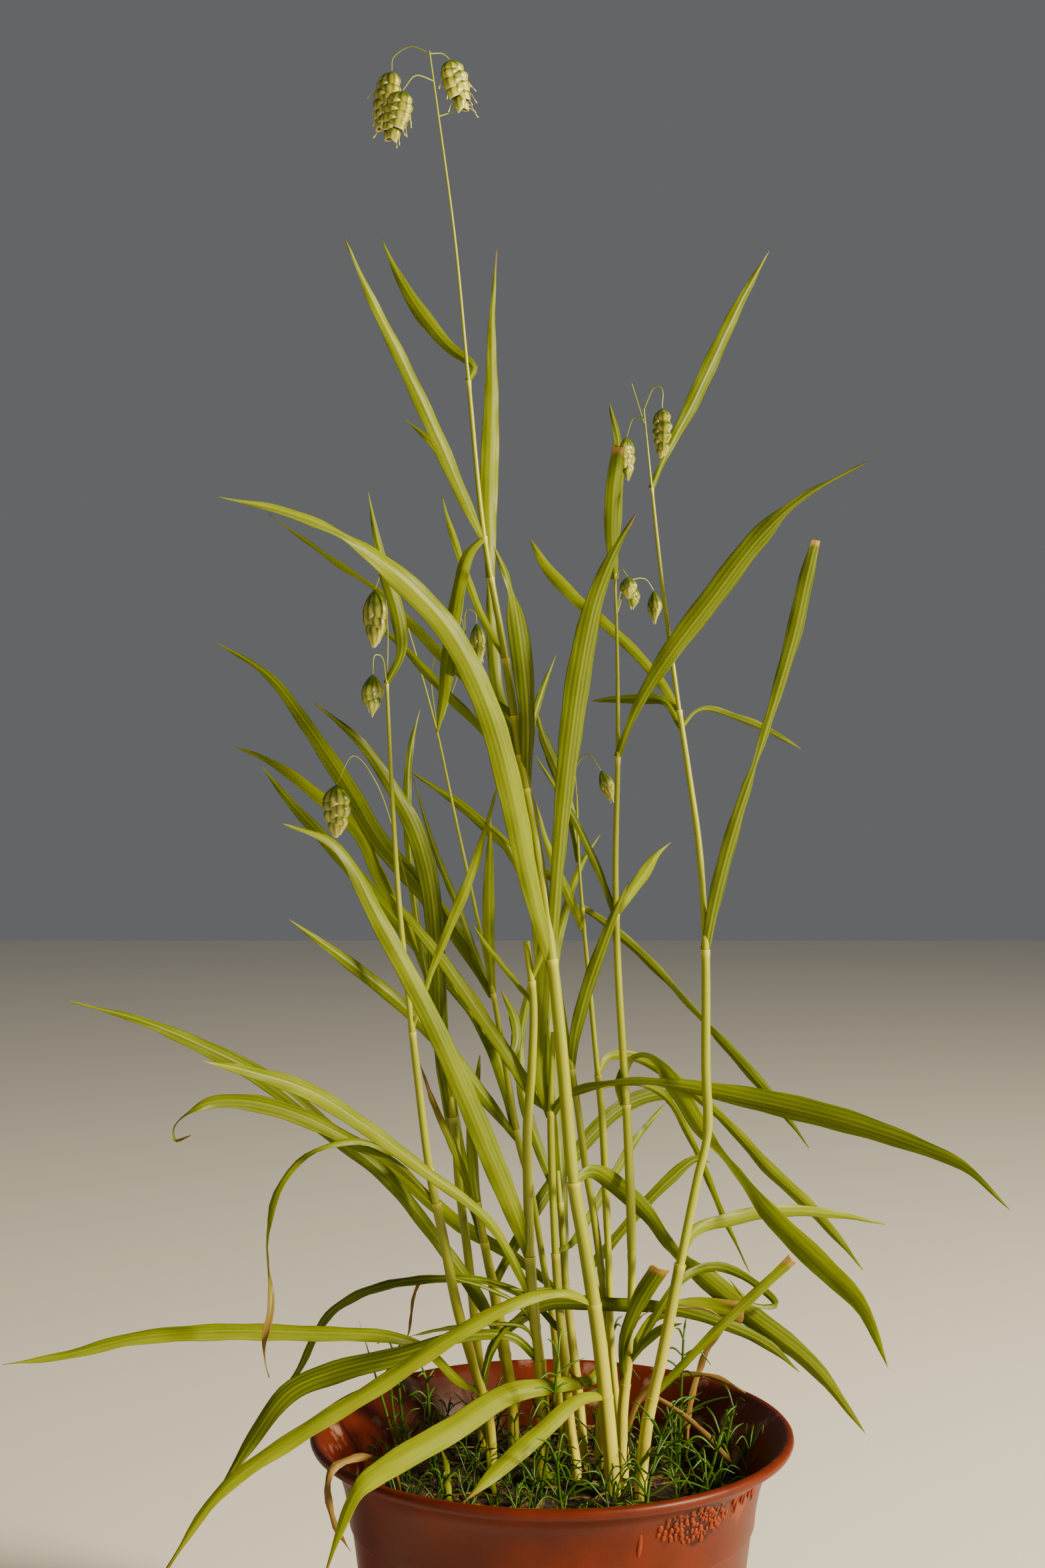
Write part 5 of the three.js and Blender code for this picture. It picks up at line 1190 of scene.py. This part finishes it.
def add_culm(lines, culm, sheath_thickness):
    """A culm's stem with its swollen joints, a sheath below each blade, and its thin stalks."""
    line = culm_line(culm)
    points, shares, _ = soft_line(line, STEM_STEP)
    length = measured(points)[-1]
    joints = [share_at(culm, up) for up in culm["nodes"]]

    def near_joint(share):
        return max([math.exp(-((share - at) * length / JOINT_LENGTH) ** 2) for at in joints], default=0)

    def paling(point):
        return 0.85 * max(0, 1 - (point.z - SOIL_TOP) / SHEATH_LENGTH)

    radii = [stem_radius(culm, share) * (1 + JOINT_SWELL * near_joint(share)) for share in shares]
    add_stalk(lines, points, radii, tone=0.5, joint=[0.4 * near_joint(share) for share in shares],
              pale=[paling(point) for point in points])
    tops = []
    for top in sorted((share_at(culm, entry["path"][0][1]) for entry in culm["blades"]), reverse=True):
        if not tops or (tops[-1] - top) * length > SHEATH_GAP:
            tops.append(top)
    for number, top in enumerate(tops):
        start = max([0.06, top - SHEATH_LENGTH / length] + [at for at in joints if at < top - 0.01])
        wrapped = 1 + 0.5 * sum(start < other for other in tops[:number])
        rings = max(8, round((top - start) * length / STEM_STEP))
        part = [start + (top - start) * i / rings for i in range(rings)] + [top - 0.5 / length, top]
        wrap, collar = [], []
        for share in part:
            gone, left = (share - start) * length, (top - share) * length
            wrap.append(stem_radius(culm, share) + wrapped * sheath_thickness / MM * min(1, gone / 3)
                        + 0.2 * max(0, 1 - left / 2))
            collar.append(max(0.5 * max(0, 1 - left / 2.5), paling(soft_point(line, share))))
        add_stalk(lines, [soft_point(line, share) for share in part], wrap, tone=(0.37 * number) % 1,
                  sheath=1.0, pale=collar)
    for stalk in culm["stalks"]:
        root = root_at(culm, stalk["path"][0][1])
        free = [seen(x, up, root.y + back) for x, up, back in stalk["path"][1:]]
        thin, parts, _ = soft_line([root] + free, 1.2, 6)
        add_stalk(lines, thin, [0.21 - 0.04 * share for share in parts], tone=0.9)


# Spikelets

def scale_shape(name, tip, finish):
    """One cupped scale of unit size: base at the origin, tip towards +Z, its back bulging
    towards +X. tip is how wide its end still is, so a bud's scale closes to a point."""
    around, down, skin = 12, 9, 0.05
    points, across, run, faces = [], [], [], []
    for layer in (1, -1):
        for j in range(down + 1):
            v = j / down
            belly = math.sin(math.pi / 2 * min(1, v / 0.55)) ** 0.7
            closing = math.cos(math.pi / 2 * max(0, (v - 0.45) / 0.55)) ** 1.3
            bulge = belly * (tip + (1 - tip) * closing)
            for i in range(around + 1):
                u = 2 * i / around - 1
                angle = math.radians(124) * u
                reach = v * (1 - 0.3 * u * u * v)
                radius = 0.9 * max(0.06, bulge) * (1 - 0.06 * u * u) + layer * skin / 2
                points.append((0.1 * bulge + radius * math.cos(angle), radius * math.sin(angle), reach))
                across.append(u)
                run.append(v)
    row = around + 1
    second = row * (down + 1)
    for a in (j * row + i for j in range(down) for i in range(around)):
        faces.append((a, a + 1, a + row + 1, a + row))
        faces.append((second + a, second + a + row, second + a + row + 1, second + a + 1))
    rim = [*range(row), *range(row + around, second, row), *range(second - 2, down * row - 1, -1),
           *range((down - 1) * row, 0, -row)]
    for here, there in zip(rim, rim[1:] + rim[:1]):
        faces.append((here, second + here, second + there, there))
    made = mesh_object(name, [Vector(point) / MM for point in points], faces, finish)
    mark(made.data, "across", across)
    mark(made.data, "run", run)
    return made


def ways(top, bottom, turn):
    """A spikelet's length, its way down, the side of its first rank and its front."""
    along = (bottom - top).normalized()
    side = aside(along, Vector((0, 1, 0)), along, math.radians(turn))
    return (bottom - top).length, along, side, along.cross(side)


def add_scales(lines, top, bottom, width, turn, florets):
    """The scales of one spikelet: two that cap it, then two ranks that take turns down to its tip.
    The scales of a ripe one spread. Those of a bud lie close, and its last one faces the front."""
    ripe = florets > RIPE_FLORETS
    length, along, side, front = ways(top, bottom, turn)
    spread = min(0.74, 0.078 * florets)
    for i in range(florets):
        last = i > florets - 3
        point = i == florets - 1 and not ripe
        share = spread * max(0, i - 1) / (florets - 2)
        reach = (1 - spread) * (1.3 - 0.3 * i / (florets - 1))
        if last:
            reach = (1 - share) * (1 if point or ripe else 0.9)
        lean = 0 if last else math.radians(9 if ripe else 3)
        egg = math.sin(math.pi * min(0.93, share + reach * 0.45) ** 0.72) ** 0.6
        rank = 1 if i % 2 else -1
        radius = width / 2 * egg - reach * length * math.sin(lean) * 0.45
        aim = (along * math.cos(lean) + side * rank * math.sin(lean)).normalized()
        deep, wide = (0.78, 1) if point else (1, 0.78)
        lines.add([top + along * length * share], down=aim, out=front if point else side * rank,
                  size=Vector((radius * deep, radius * wide, reach * length / math.cos(lean))) * MM,
                  ripe=float(ripe))


def add_stamens(lines, top, bottom, width, turn, chance):
    """Spent stamens that hang out of a ripe spikelet: a bent thread and its anther."""
    length, along, side, front = ways(top, bottom, turn)
    for k in range(STAMENS):
        share = 0.3 + 0.62 * k / (STAMENS - 1)
        rank = 1 if k % 3 else -1
        root = top + along * length * share + side * rank * width * 0.3 * (1.15 - share)
        out = (side * rank + front * (chance.random() - 0.5) + along * 0.3).normalized()
        far = 3.2 + 2.2 * chance.random()
        bend = root + out * far * 0.6
        end = bend + (out * 0.4 + along * (0.9 - 0.5 * chance.random())) * far * 0.55
        anther = end + (end - bend).normalized() * 1.3
        line, shares, _ = soft_line([root, bend, end, anther], 0.6)
        add_stalk(lines, line, [0.075 if part < 0.72 else 0.2 for part in shares], tone=0.8, pale=0.9)


# Pieces

def soil_height(x, y):
    """The height of the soil's lumpy top."""
    swell = math.sin(x / SOIL_PATCH) * math.cos(y / SOIL_PATCH) - 1
    rough = smooth_noise.fractal(Vector((x, y, 3)) / 6, 0.6, 2.1, 4)
    return SOIL_TOP + SOIL_LUMP * swell + 0.9 * rough


def sweep(lines, tree, name, values, slot, *nodes):
    """Grows a piece from its lines and settles it."""
    settle(grow(lines.make(name + "_lines"), tree, name, values), slot, *nodes)


def build_culms(settings):
    """Stems with joints and sheaths, and the thin stalks of the spikelets."""
    values = {"Finish": stalk_material(settings), "Sides": 14}
    tree = stalk_tree()
    for culm in CULMS:
        lines = Lines()
        add_culm(lines, culm, settings.sheath)
        sweep(lines, tree, culm["name"].replace("culm_", "") + "_stem", values, "grass", culm["name"])


def build_blades(settings):
    """The strap blades of every culm."""
    values = {"Finish": blade_material(settings), "Thickness": settings.thickness, "Fold": settings.fold,
              "Ripple": settings.ripple, "Ripple Length": settings.ripple_length}
    tree = strap_tree()
    chance = random.Random(5)
    for culm in CULMS:
        lines = Lines()
        for entry in culm["blades"]:
            root = root_at(culm, entry["path"][0][1])
            tone = entry.get("tone", 0.35 + 0.45 * chance.random())
            add_blade(lines, entry, root, tone, entry.get("dry", 0.0))
        sweep(lines, tree, culm["name"].replace("culm_", "") + "_blades", values, "grass", culm["name"])


def build_spikelets(settings):
    """The hanging spikelets, each of overlapping papery scales, the ripe ones with stamens."""
    finish = scale_material(settings)
    thread_finish = stalk_material(bpy.context.scene.quake_grass, "spent stamen")
    tree, threads = scale_tree(), stalk_tree()
    shapes = [scale_shape(f"scale_{florets}", tip, finish)
              for florets, tip in ((3, 0.06), (5, 0.35), (10, 0.7))]
    chance = random.Random(23)
    for culm in CULMS:
        for number, stalk in enumerate(culm["stalks"], 1):
            if "bottom" not in stalk:
                continue
            path, florets = stalk["path"], stalk["florets"]
            end = seen(*path[-1][:2], root_at(culm, path[0][1]).y + path[-1][2])
            tip = seen(*stalk["bottom"], end.y)
            top = end + (tip - end).normalized() * HANG_GAP
            ripe = florets > RIPE_FLORETS
            node = f"{culm['name']}_spikelet_{number}"
            name = node.replace("culm_", "")
            lines = Lines()
            add_scales(lines, top, tip, stalk["width"], stalk["turn"], florets)
            grown = grow(lines.make(name + "_points"), tree, name,
                         {"Shape": shapes[(florets > 4) + ripe], "Finish": finish})
            if ripe:
                stamens = Lines()
                add_stamens(stamens, top, tip, stalk["width"], stalk["turn"], chance)
                grown = join(grown, grow(stamens.make(name + "_threads"), threads, name + "_stamens",
                                         {"Finish": thread_finish, "Sides": 5}))
            settle(grown, "spikelet", node)
    for shape in shapes:
        bpy.data.objects.remove(shape)


def build_small_blades(settings):
    """The narrow inner and young blades and the dry straws."""
    tree = strap_tree()
    culms = {culm["name"]: culm for culm in CULMS}
    values = {"Thickness": 0.25 * MM, "Fold": 0.3, "Ripple": 0.3 * MM, "Ripple Length": 9 * MM, "Sides": 10}
    for name, dried, slot in (("young_blades", False, "grass"), ("dry_straws", True, "dry_leaf")):
        lines = Lines()
        for number, entry in enumerate(SMALL_BLADES):
            if dried != ("dry" in entry):
                continue
            across, up = entry["path"][0][:2]
            if "on" in entry:
                root = root_at(culms[entry["on"]], up)
            elif "depth" in entry:
                root = seen(across, up, entry["depth"])
            else:
                root = ground(across, up) - Vector((0, 0, 1))
            add_blade(lines, entry, root, entry.get("tone", 0.3 + 0.06 * number), entry.get("dry", 0))
        values["Finish"] = blade_material(settings, "dry straw" if dried else "young grass blade")
        sweep(lines, tree, name, values, slot)


def build_dry_leaves(settings):
    """The loose dried leaves, thin, brown and curled."""
    values = {"Finish": blade_material(settings, "dried grass blade"), "Thickness": 0.35 * MM,
              "Fold": 0.5, "Ripple": 0.5 * MM, "Ripple Length": 11 * MM}
    tree = strap_tree()
    for leaf in DRY_LEAVES:
        first = seen(*leaf["path"][0][:2], leaf["depth"])
        lines = Lines()
        add_blade(lines, leaf, first, 0.3, 1.0)
        foot, _, ahead = soft_line(plug(leaf["foot"]) + [first], 3.0)
        lines.add(foot, side=Vector((1, 0, 0)), face=Vector((0, 1, 0)), ahead=ahead,
                  half_width=0.7 * MM, run=[0.003 * i for i in range(len(foot))], dry=1.0, ragged=0.0,
                  tone=0.3)
        sweep(lines, tree, leaf["name"].replace("dry_leaf", "dried_blade"), values, "dry_leaf", leaf["name"])


def inside_pot(point):
    """The point, drawn in from the pot's wall where it lies lower than the lip."""
    if point.z < POT_HEIGHT + 1:
        limit = NECK_RADIUS - WALL - LEAF_GAP + max(0, point.z - NECK_HEIGHT) * FLARE
        if point.xy.length > limit:
            point.xy = point.xy.normalized() * limit
    return point


def add_sprig(lines, base, tip, needle, whorls, thickness, chance, stem=0.55):
    """One weed: a thin stem with whorls of long curved needle leaves."""
    middle = base.lerp(tip, 0.5) + Vector((chance.uniform(-1, 1), chance.uniform(-1, 1), 0)) * 1.2
    line, shares, _ = soft_line([base, middle, tip], 1.6)
    add_stalk(lines, line, [stem - 0.25 * stem * share for share in shares], tone=0.35)
    for w in range(whorls):
        rise = (w + 1) / whorls
        at = soft_point([base, middle, tip], min(1, 0.1 + 0.9 * rise))
        count = chance.choice((1, 2, 3)) if rise < 1 else chance.choice((2, 3, 4))
        start = chance.random()
        for k in range(count):
            angle = math.tau * (k + start + 0.5 * chance.random()) / count
            steep = chance.uniform(0.15, 0.9) + 0.9 * (rise == 1)
            out = Vector(turned(1, angle, steep)).normalized()
            length = needle * chance.uniform(0.6, 1.3)
            sag = Vector((0, 0, -length * chance.uniform(0.1, 0.6)))
            knots = [at, at + out * length * 0.5 - sag * 0.25, at + out * length + sag * 0.8]
            bent, parts, _ = soft_line([inside_pot(knot) for knot in knots], 1.5, 7)
            radii = [max(0.07, thickness / 2 * math.sin(math.pi * min(0.97, 0.14 + 0.84 * part)) ** 0.5)
                     for part in parts]
            add_stalk(lines, bent, radii, tone=chance.uniform(0.1, 0.9))


def build_weeds(settings):
    """The weeds that stand in holes of their own, and the seedlings that cover the soil."""
    finish = needle_material(settings)
    tree = stalk_tree()
    thickness = settings.needle / MM
    for number, weed in enumerate(WEEDS):
        x, y, tall = weed["tip"]
        tip = Vector((x, y, SOIL_TOP + tall))
        stake = plug(weed["foot"])
        lines = Lines()
        add_stalk(lines, stake, [0.7, 0.7, 0.6], tone=0.2)
        whorls = max(3, round((tip - stake[-1]).length / 7))
        add_sprig(lines, stake[-1], tip, weed["needle"] * 0.95, whorls, thickness,
                  random.Random(number + 11), 0.6)
        sweep(lines, tree, weed["name"].replace("weed_", "") + "_weed", {"Finish": finish, "Sides": 7},
              "weed", weed["name"])

    # Seedlings: thick at the front and the sides, thin between the culms. Each stands a golden
    # angle further round and further out
    chance = random.Random(41)
    lines = Lines()
    for k in range(settings.seedlings):
        far = SOIL_REACH * math.sqrt((k + 0.5) / settings.seedlings)
        x, y, _ = turned(far, math.tau * (k * GOLDEN_TURN))
        base = Vector((x, y, soil_height(x, y) - 0.8))
        tall = chance.uniform(3, 15) * (1.3 if far > 35 else 0.8)
        tip = base + Vector((chance.uniform(-6, 6), chance.uniform(-6, 6), tall))
        add_sprig(lines, base, tip, chance.uniform(6, 20), chance.choice((1, 1, 2, 2)),
                  thickness * chance.uniform(0.6, 0.95), chance, 0.4)
    for number, path in enumerate(NEEDLES):
        root = ground(*path[0])
        free = [seen(across, up, root.y) for across, up in path[1:]]
        bent, parts, _ = soft_line([root - Vector((0, 0, 1))] + free, 2.0)
        add_stalk(lines, bent, [max(0.08, 0.55 * (1 - part**3)) for part in parts],
                  tone=0.3 + 0.06 * number)
    sweep(lines, tree, "ground_seedlings", {"Finish": finish, "Sides": 5}, "weed")


def build_litter(settings):
    """Fallen dry strips and threads that lie on the soil between the stems."""
    chance = random.Random(8)
    lines = Lines()
    for k in range(settings.litter):
        angle = chance.uniform(0, math.tau)
        middle = Vector(turned(LITTER_REACH * math.sqrt(chance.random()), angle))
        step = Vector(turned(1, chance.uniform(0, math.tau))) * chance.uniform(7, 26) / 2
        points = []
        for i in (-1, 0, 1):
            spot = middle + step * i
            if spot.xy.length > SOIL_REACH:
                spot.xy = spot.xy.normalized() * SOIL_REACH
            spot += Vector((-step.y, step.x, 0)) * chance.uniform(-0.3, 0.3)
            spot.z = soil_height(spot.x, spot.y) + chance.uniform(0.3, 3.2)
            points.append(spot)
        line, shares, ahead = soft_line(points, 2.0)
        width = chance.choice((0.5, 0.8, 1.2, 2.2))
        sides = [aside(along, Vector((0, 0, 1)), along, 2.5 * share + k)
                 for share, along in zip(shares, ahead)]
        widths = [width * (0.35 + 0.65 * math.sin(math.pi * min(1, share + 0.1))) for share in shares]
        add_strip(lines, line, ahead, sides, widths, dry=chance.uniform(0.8, 1.1), ragged=0.0,
                  tone=chance.random())
    values = {"Finish": blade_material(settings, "dried grass litter"), "Thickness": 0.25 * MM,
              "Fold": 0.5, "Ripple": 0.3 * MM, "Ripple Length": 7 * MM, "Sides": 8}
    sweep(lines, strap_tree(), "soil_litter", values, "dry_leaf")


def lathe(name, outline, segments, finish, start=0.0):
    """A closed body turned from (radius, height) points, the first and last on the axis. A height
    may be a function of the place, as on uneven ground."""
    points, faces = [], []
    for ring, (radius, height) in enumerate(outline):
        for k in range(segments if 0 < ring < len(outline) - 1 else 1):
            x, y, _ = turned(radius, start + math.tau * k / segments)
            points.append((x, y, height(x, y) if callable(height) else height))
    top = 1 + (len(outline) - 3) * segments
    for k in range(segments):
        after = (k + 1) % segments
        faces.append((0, 1 + after, 1 + k))
        for a in range(1, top, segments):
            faces.append((a + k, a + after, a + segments + after, a + segments + k))
        faces.append((len(points) - 1, top + k, top + after))
    return mesh_object(name, points, faces, finish)


def steps_from(radius, height, *steps):
    """(radius, height) points, each a step out and up from the same one."""
    return [(radius + out, height + up) for out, up in steps]


def wall_outline():
    """(radius, height) points of the pot's outer wall, from its base to the top of its lip."""
    return (steps_from(BASE_RADIUS, 0, (-0.6, 0), (0, 0.8))
            + steps_from(NECK_RADIUS, NECK_HEIGHT, (-0.95, -1.2), (-0.8, -0.9), (-0.15, -0.1), (0, 0.3),
                         (0.35, 4), (0.95, 8), (2.1, 13.5), (3.8, 19), (5.6, 22.6))
            + steps_from(RIM_RADIUS, POT_HEIGHT, (-6.2, -7.2), (-4.2, -5.4), (-1.7, -4.2), (-0.5, -3.2),
                         (0, -2), (-0.2, -1), (-0.8, -0.3), (-1.6, 0)))


def wall_spot(angle, up):
    """The point of the outer wall at an angle and a height, with its way down and its way out."""
    outline = wall_outline()
    radius = next((inner + (outer - inner) * (up - low) / (high - low)
                   for (inner, low), (outer, high) in zip(outline, outline[1:]) if low <= up < high),
                  RIM_RADIUS)
    return (Vector(turned(radius, angle, up)), Vector(turned(-1, angle, -4)).normalized(),
            Vector(turned(4, angle, -1)).normalized())


def build_blisters(finish):
    """Drops of plastic that stand on the wall: a ragged oval of them, drips beside it and a nick."""
    chance = random.Random(31)
    drops = []
    wide, tall = PATCH_SIZE
    for _ in range(BLISTER_TRIES):
        across, up, half = chance.uniform(-wide, wide), chance.uniform(-tall, tall), chance.uniform(0.6, 1.15)
        ragged = smooth_noise.noise(Vector((across, up, 0)) / 4)
        crowded = any(math.hypot(across - x, up - y) < 0.85 * (half + size) for x, y, size in drops)
        if (across / wide) ** 2 + (up / tall) ** 2 < 0.8 + 0.7 * ragged and not crowded:
            drops.append((across, up, half))
    spots = [(PATCH, across, up, 0.6 * half, half, half * chance.uniform(0.9, 1.5))
             for across, up, half in drops]
    for k in range(7):
        long = chance.uniform(1.5, 4.5)
        spots.append((RUNS, 2.3 * (k - 3), 2.5 - long, 0.45, chance.uniform(0.5, 0.8), long))
    spots.append((NICK, 0, 0, 0.6, 0.9, 4.6))
    lines = Lines()
    for centre, across, up, *size in spots:
        angle = math.atan2(centre[1], centre[0]) + across / NECK_RADIUS
        point, down, out = wall_spot(angle, centre[2] + up)
        lines.add([point], down=down, out=out, blister=1.0, size=Vector(size) * MM)

    # A ball of radius 1, two of whose corners mark its full width
    turns = [math.pi * ring / 7 for ring in range(8)]
    ball = [(math.sin(turn) / MM, -math.cos(turn) / MM) for turn in turns]
    shape = lathe("drop", ball, 10, finish, math.pi / 2)
    sweep(lines, scale_tree(), "pot_blisters", {"Shape": shape, "Finish": finish}, "pot")
    bpy.data.objects.remove(shape)


def build_pot(settings):
    """The moulded pot: drained base, tapered wall, flare and rolled lip."""
    finish = pot_material(settings)
    lip = steps_from(RIM_RADIUS, POT_HEIGHT, (-2.6, -0.2), (-3.6, -0.9), (-5.2, -2.8), (-6.8, -5.5))
    inside = (steps_from(NECK_RADIUS - WALL, NECK_HEIGHT, (3.8, 19), (2.1, 13.5), (1, 8.5), (0, 0))
              + steps_from(BASE_RADIUS - WALL, RECESS + FLOOR, (0.2, 1.5), (-1.2, 0)))
    inner = BASE_RADIUS - FOOT_WIDTH
    foot = [(0, 0), (PAD_RADIUS, 0), (PAD_RADIUS + 0.5, RECESS), (inner - 0.5, RECESS), (inner, 0)]
    outline = foot + wall_outline() + lip + inside + [(0, RECESS + FLOOR)]
    pot = lathe("garden_pot", outline, settings.segments, finish)
    drains = bmesh.new()
    for i in range(DRAINS):
        made = bmesh.ops.create_cone(drains, cap_ends=True, segments=32, radius1=DRAIN_RADIUS * MM,
                                     radius2=DRAIN_RADIUS * MM, depth=4 * FLOOR * MM)
        spot = Vector(turned(DRAIN_RING, math.tau * i / DRAINS, FLOOR)) * MM
        bmesh.ops.translate(drains, verts=made["verts"], vec=spot)
    cut = pot.modifiers.new("drains", "BOOLEAN")
    cut.object = cutter = freed("drains", drains)
    cut.solver = "EXACT"
    pot.data = mesh = applied(pot, cut)
    bpy.data.objects.remove(cutter)
    mark(mesh, "inside", [float(vertex.normal.xy.dot(vertex.co.xy) < 0) for vertex in mesh.vertices])
    settle(pot, "pot", "pot")
    build_blisters(finish)


def build_soil(settings):
    """The soil: a body that fills the pot with a lumpy top, and crumbs scattered on it."""
    finish = soil_material(settings)
    around, inward = 144, 46
    foot, thin = BASE_RADIUS - WALL - CLEARANCE, NECK_RADIUS - WALL - CLEARANCE
    low = RECESS + FLOOR + CLEARANCE

    # At its top the soil meets the wall between the steps at 8.5 and 19 above the neck
    edge = thin + 1 + (SOIL_TOP - NECK_HEIGHT - 8.5) * 2.8 / 10.5
    wall = steps_from(foot, low, (-1.4, 0), (0, 1.4)) + steps_from(thin, NECK_HEIGHT, (0, 0), (1, 8.5))
    ground_rings = [((edge - 0.3) * (1 - j / inward), soil_height) for j in range(inward + 1)]
    soil = lathe("peat_soil", [(0, low), *wall, (edge, SOIL_TOP - 1.4), *ground_rings], around, finish)
    mark(soil.data, "top", [float(vertex.co.z / MM > SOIL_TOP - 6 and vertex.co.xy.length / MM < edge - 1.5)
                            for vertex in soil.data.vertices])
    source = linked("crumb_source", soil.data.copy())
    settle(soil, "soil", "soil")
    settle(grow(source, crumb_tree(), "soil_crumbs",
                {"Density": float(settings.density), "Largest": settings.largest, "Finish": finish}), "soil")


def build_stage(settings):
    """A wide plain floor, soft studio light, and the camera of the photograph."""
    scene = bpy.context.scene

    # Painted board: pale and matt, so that it takes soft shadows and doesn't gleam
    board = bpy.data.materials.new("pale studio floor")
    board.use_nodes = True
    shader = board.node_tree.nodes["Principled BSDF"]
    shader.inputs["Base Color"].default_value = settings.floor
    shader.inputs["Roughness"].default_value = 0.9
    corners = [(x * FLOOR_REACH, y * FLOOR_REACH, 0) for x, y in ((-1, -1), (1, -1), (1, 1), (-1, 1))]
    floor = mesh_object("studio_floor", corners, [(0, 1, 2, 3)], board)
    world = scene.world = bpy.data.worlds.new("studio")
    world.use_nodes = True
    background = world.node_tree.nodes["Background"]
    background.inputs["Color"].default_value = linear("#e8ebee")
    background.inputs["Strength"].default_value = 0.16
    for name, power, size, spot, colour in (
            ("main_light", settings.key_power, 0.35, (1.6, -0.85, 0.95), "#fff0cc"),
            ("fill_light", settings.fill_power, 1.6, (-1.2, -1.7, 1.0), "#fff2dc")):
        light = bpy.data.lights.new(name, "AREA")
        light.energy = power
        light.size = size
        light.color = linear(colour)[:3]
        lamp = linked(name, light)
        lamp.location = spot
        lamp.rotation_euler = (Vector((0, 0, 0.3)) - Vector(spot)).to_track_quat("-Z", "Y").to_euler()
    view = bpy.data.cameras.new("camera")
    view.lens = 46.9
    view.sensor_width = 36
    view.clip_start = 0.01
    scene.camera = linked("camera", view)
    scene.camera.location = EYE * MM
    scene.camera.rotation_euler = (math.radians(90), 0, 0)


# Operators and panel

class Maker:
    """What the operators share: each runs its own builder on its own settings."""
    bl_options = {"REGISTER", "UNDO"}

    def execute(self, context):
        type(self).build(getattr(context.scene, type(self).settings))
        return {"FINISHED"}


class QUAKE_OT_pot(Maker, bpy.types.Operator):
    """Build the pot"""
    bl_idname = "quake.pot"
    bl_label = "Pot"
    build = build_pot
    settings = "quake_pot"


class QUAKE_OT_soil(Maker, bpy.types.Operator):
    """Build the soil and its crumbs"""
    bl_idname = "quake.soil"
    bl_label = "Soil"
    build = build_soil
    settings = "quake_soil"


class QUAKE_OT_culms(Maker, bpy.types.Operator):
    """Build the culms with their sheaths"""
    bl_idname = "quake.culms"
    bl_label = "Culms"
    build = build_culms
    settings = "quake_grass"


class QUAKE_OT_blades(Maker, bpy.types.Operator):
    """Build the blades"""
    bl_idname = "quake.blades"
    bl_label = "Blades"
    build = build_blades
    settings = "quake_grass"


class QUAKE_OT_spikelets(Maker, bpy.types.Operator):
    """Build the spikelets"""
    bl_idname = "quake.spikelets"
    bl_label = "Spikelets"
    build = build_spikelets
    settings = "quake_spikelet"


class QUAKE_OT_small_blades(Maker, bpy.types.Operator):
    """Build the narrow inner and young blades and the dry straws"""
    bl_idname = "quake.small_blades"
    bl_label = "Small Blades"
    build = build_small_blades
    settings = "quake_grass"


class QUAKE_OT_dry_leaves(Maker, bpy.types.Operator):
    """Build the dried leaves"""
    bl_idname = "quake.dry_leaves"
    bl_label = "Dried Leaves"
    build = build_dry_leaves
    settings = "quake_grass"


class QUAKE_OT_litter(Maker, bpy.types.Operator):
    """Build the dry litter on the soil"""
    bl_idname = "quake.litter"
    bl_label = "Litter"
    build = build_litter
    settings = "quake_grass"


class QUAKE_OT_weeds(Maker, bpy.types.Operator):
    """Build the weeds"""
    bl_idname = "quake.weeds"
    bl_label = "Weeds"
    build = build_weeds
    settings = "quake_weed"


class QUAKE_OT_stage(Maker, bpy.types.Operator):
    """Build the floor, the light and the camera"""
    bl_idname = "quake.stage"
    bl_label = "Stage"
    build = build_stage
    settings = "quake_stage"


OPERATORS = (QUAKE_OT_pot, QUAKE_OT_soil, QUAKE_OT_culms, QUAKE_OT_blades, QUAKE_OT_spikelets,
             QUAKE_OT_small_blades, QUAKE_OT_dry_leaves, QUAKE_OT_litter, QUAKE_OT_weeds, QUAKE_OT_stage)
SETTINGS = {"quake_grass": GrassSettings, "quake_spikelet": SpikeletSettings, "quake_weed": WeedSettings,
            "quake_pot": PotSettings, "quake_soil": SoilSettings, "quake_stage": StageSettings}


class QUAKE_PT_panel(bpy.types.Panel):
    """Lists the pieces, each with its settings"""
    bl_idname = "QUAKE_PT_panel"
    bl_label = "Potted Quaking Grass"
    bl_space_type = "VIEW_3D"
    bl_region_type = "UI"
    bl_category = "Grass"

    def draw(self, context):
        for operator in OPERATORS:
            self.layout.operator(operator.bl_idname)
        for name, group in SETTINGS.items():
            box = self.layout.box()
            box.label(text=group.__doc__)
            for setting in group.__annotations__:
                box.prop(getattr(context.scene, name), setting)


def register():
    for group in (*SETTINGS.values(), *OPERATORS, QUAKE_PT_panel):
        bpy.utils.register_class(group)
    for name, group in SETTINGS.items():
        setattr(bpy.types.Scene, name, bpy.props.PointerProperty(type=group))


def unregister():
    for name in SETTINGS:
        delattr(bpy.types.Scene, name)
    for group in (QUAKE_PT_panel, *OPERATORS, *SETTINGS.values()):
        bpy.utils.unregister_class(group)


def main():
    register()
    bpy.ops.quake.pot()
    bpy.ops.quake.soil()
    bpy.ops.quake.culms()
    bpy.ops.quake.blades()
    bpy.ops.quake.spikelets()
    bpy.ops.quake.small_blades()
    bpy.ops.quake.dry_leaves()
    bpy.ops.quake.litter()
    bpy.ops.quake.weeds()
    bpy.ops.quake.stage()


if __name__ == "__main__":
    main()
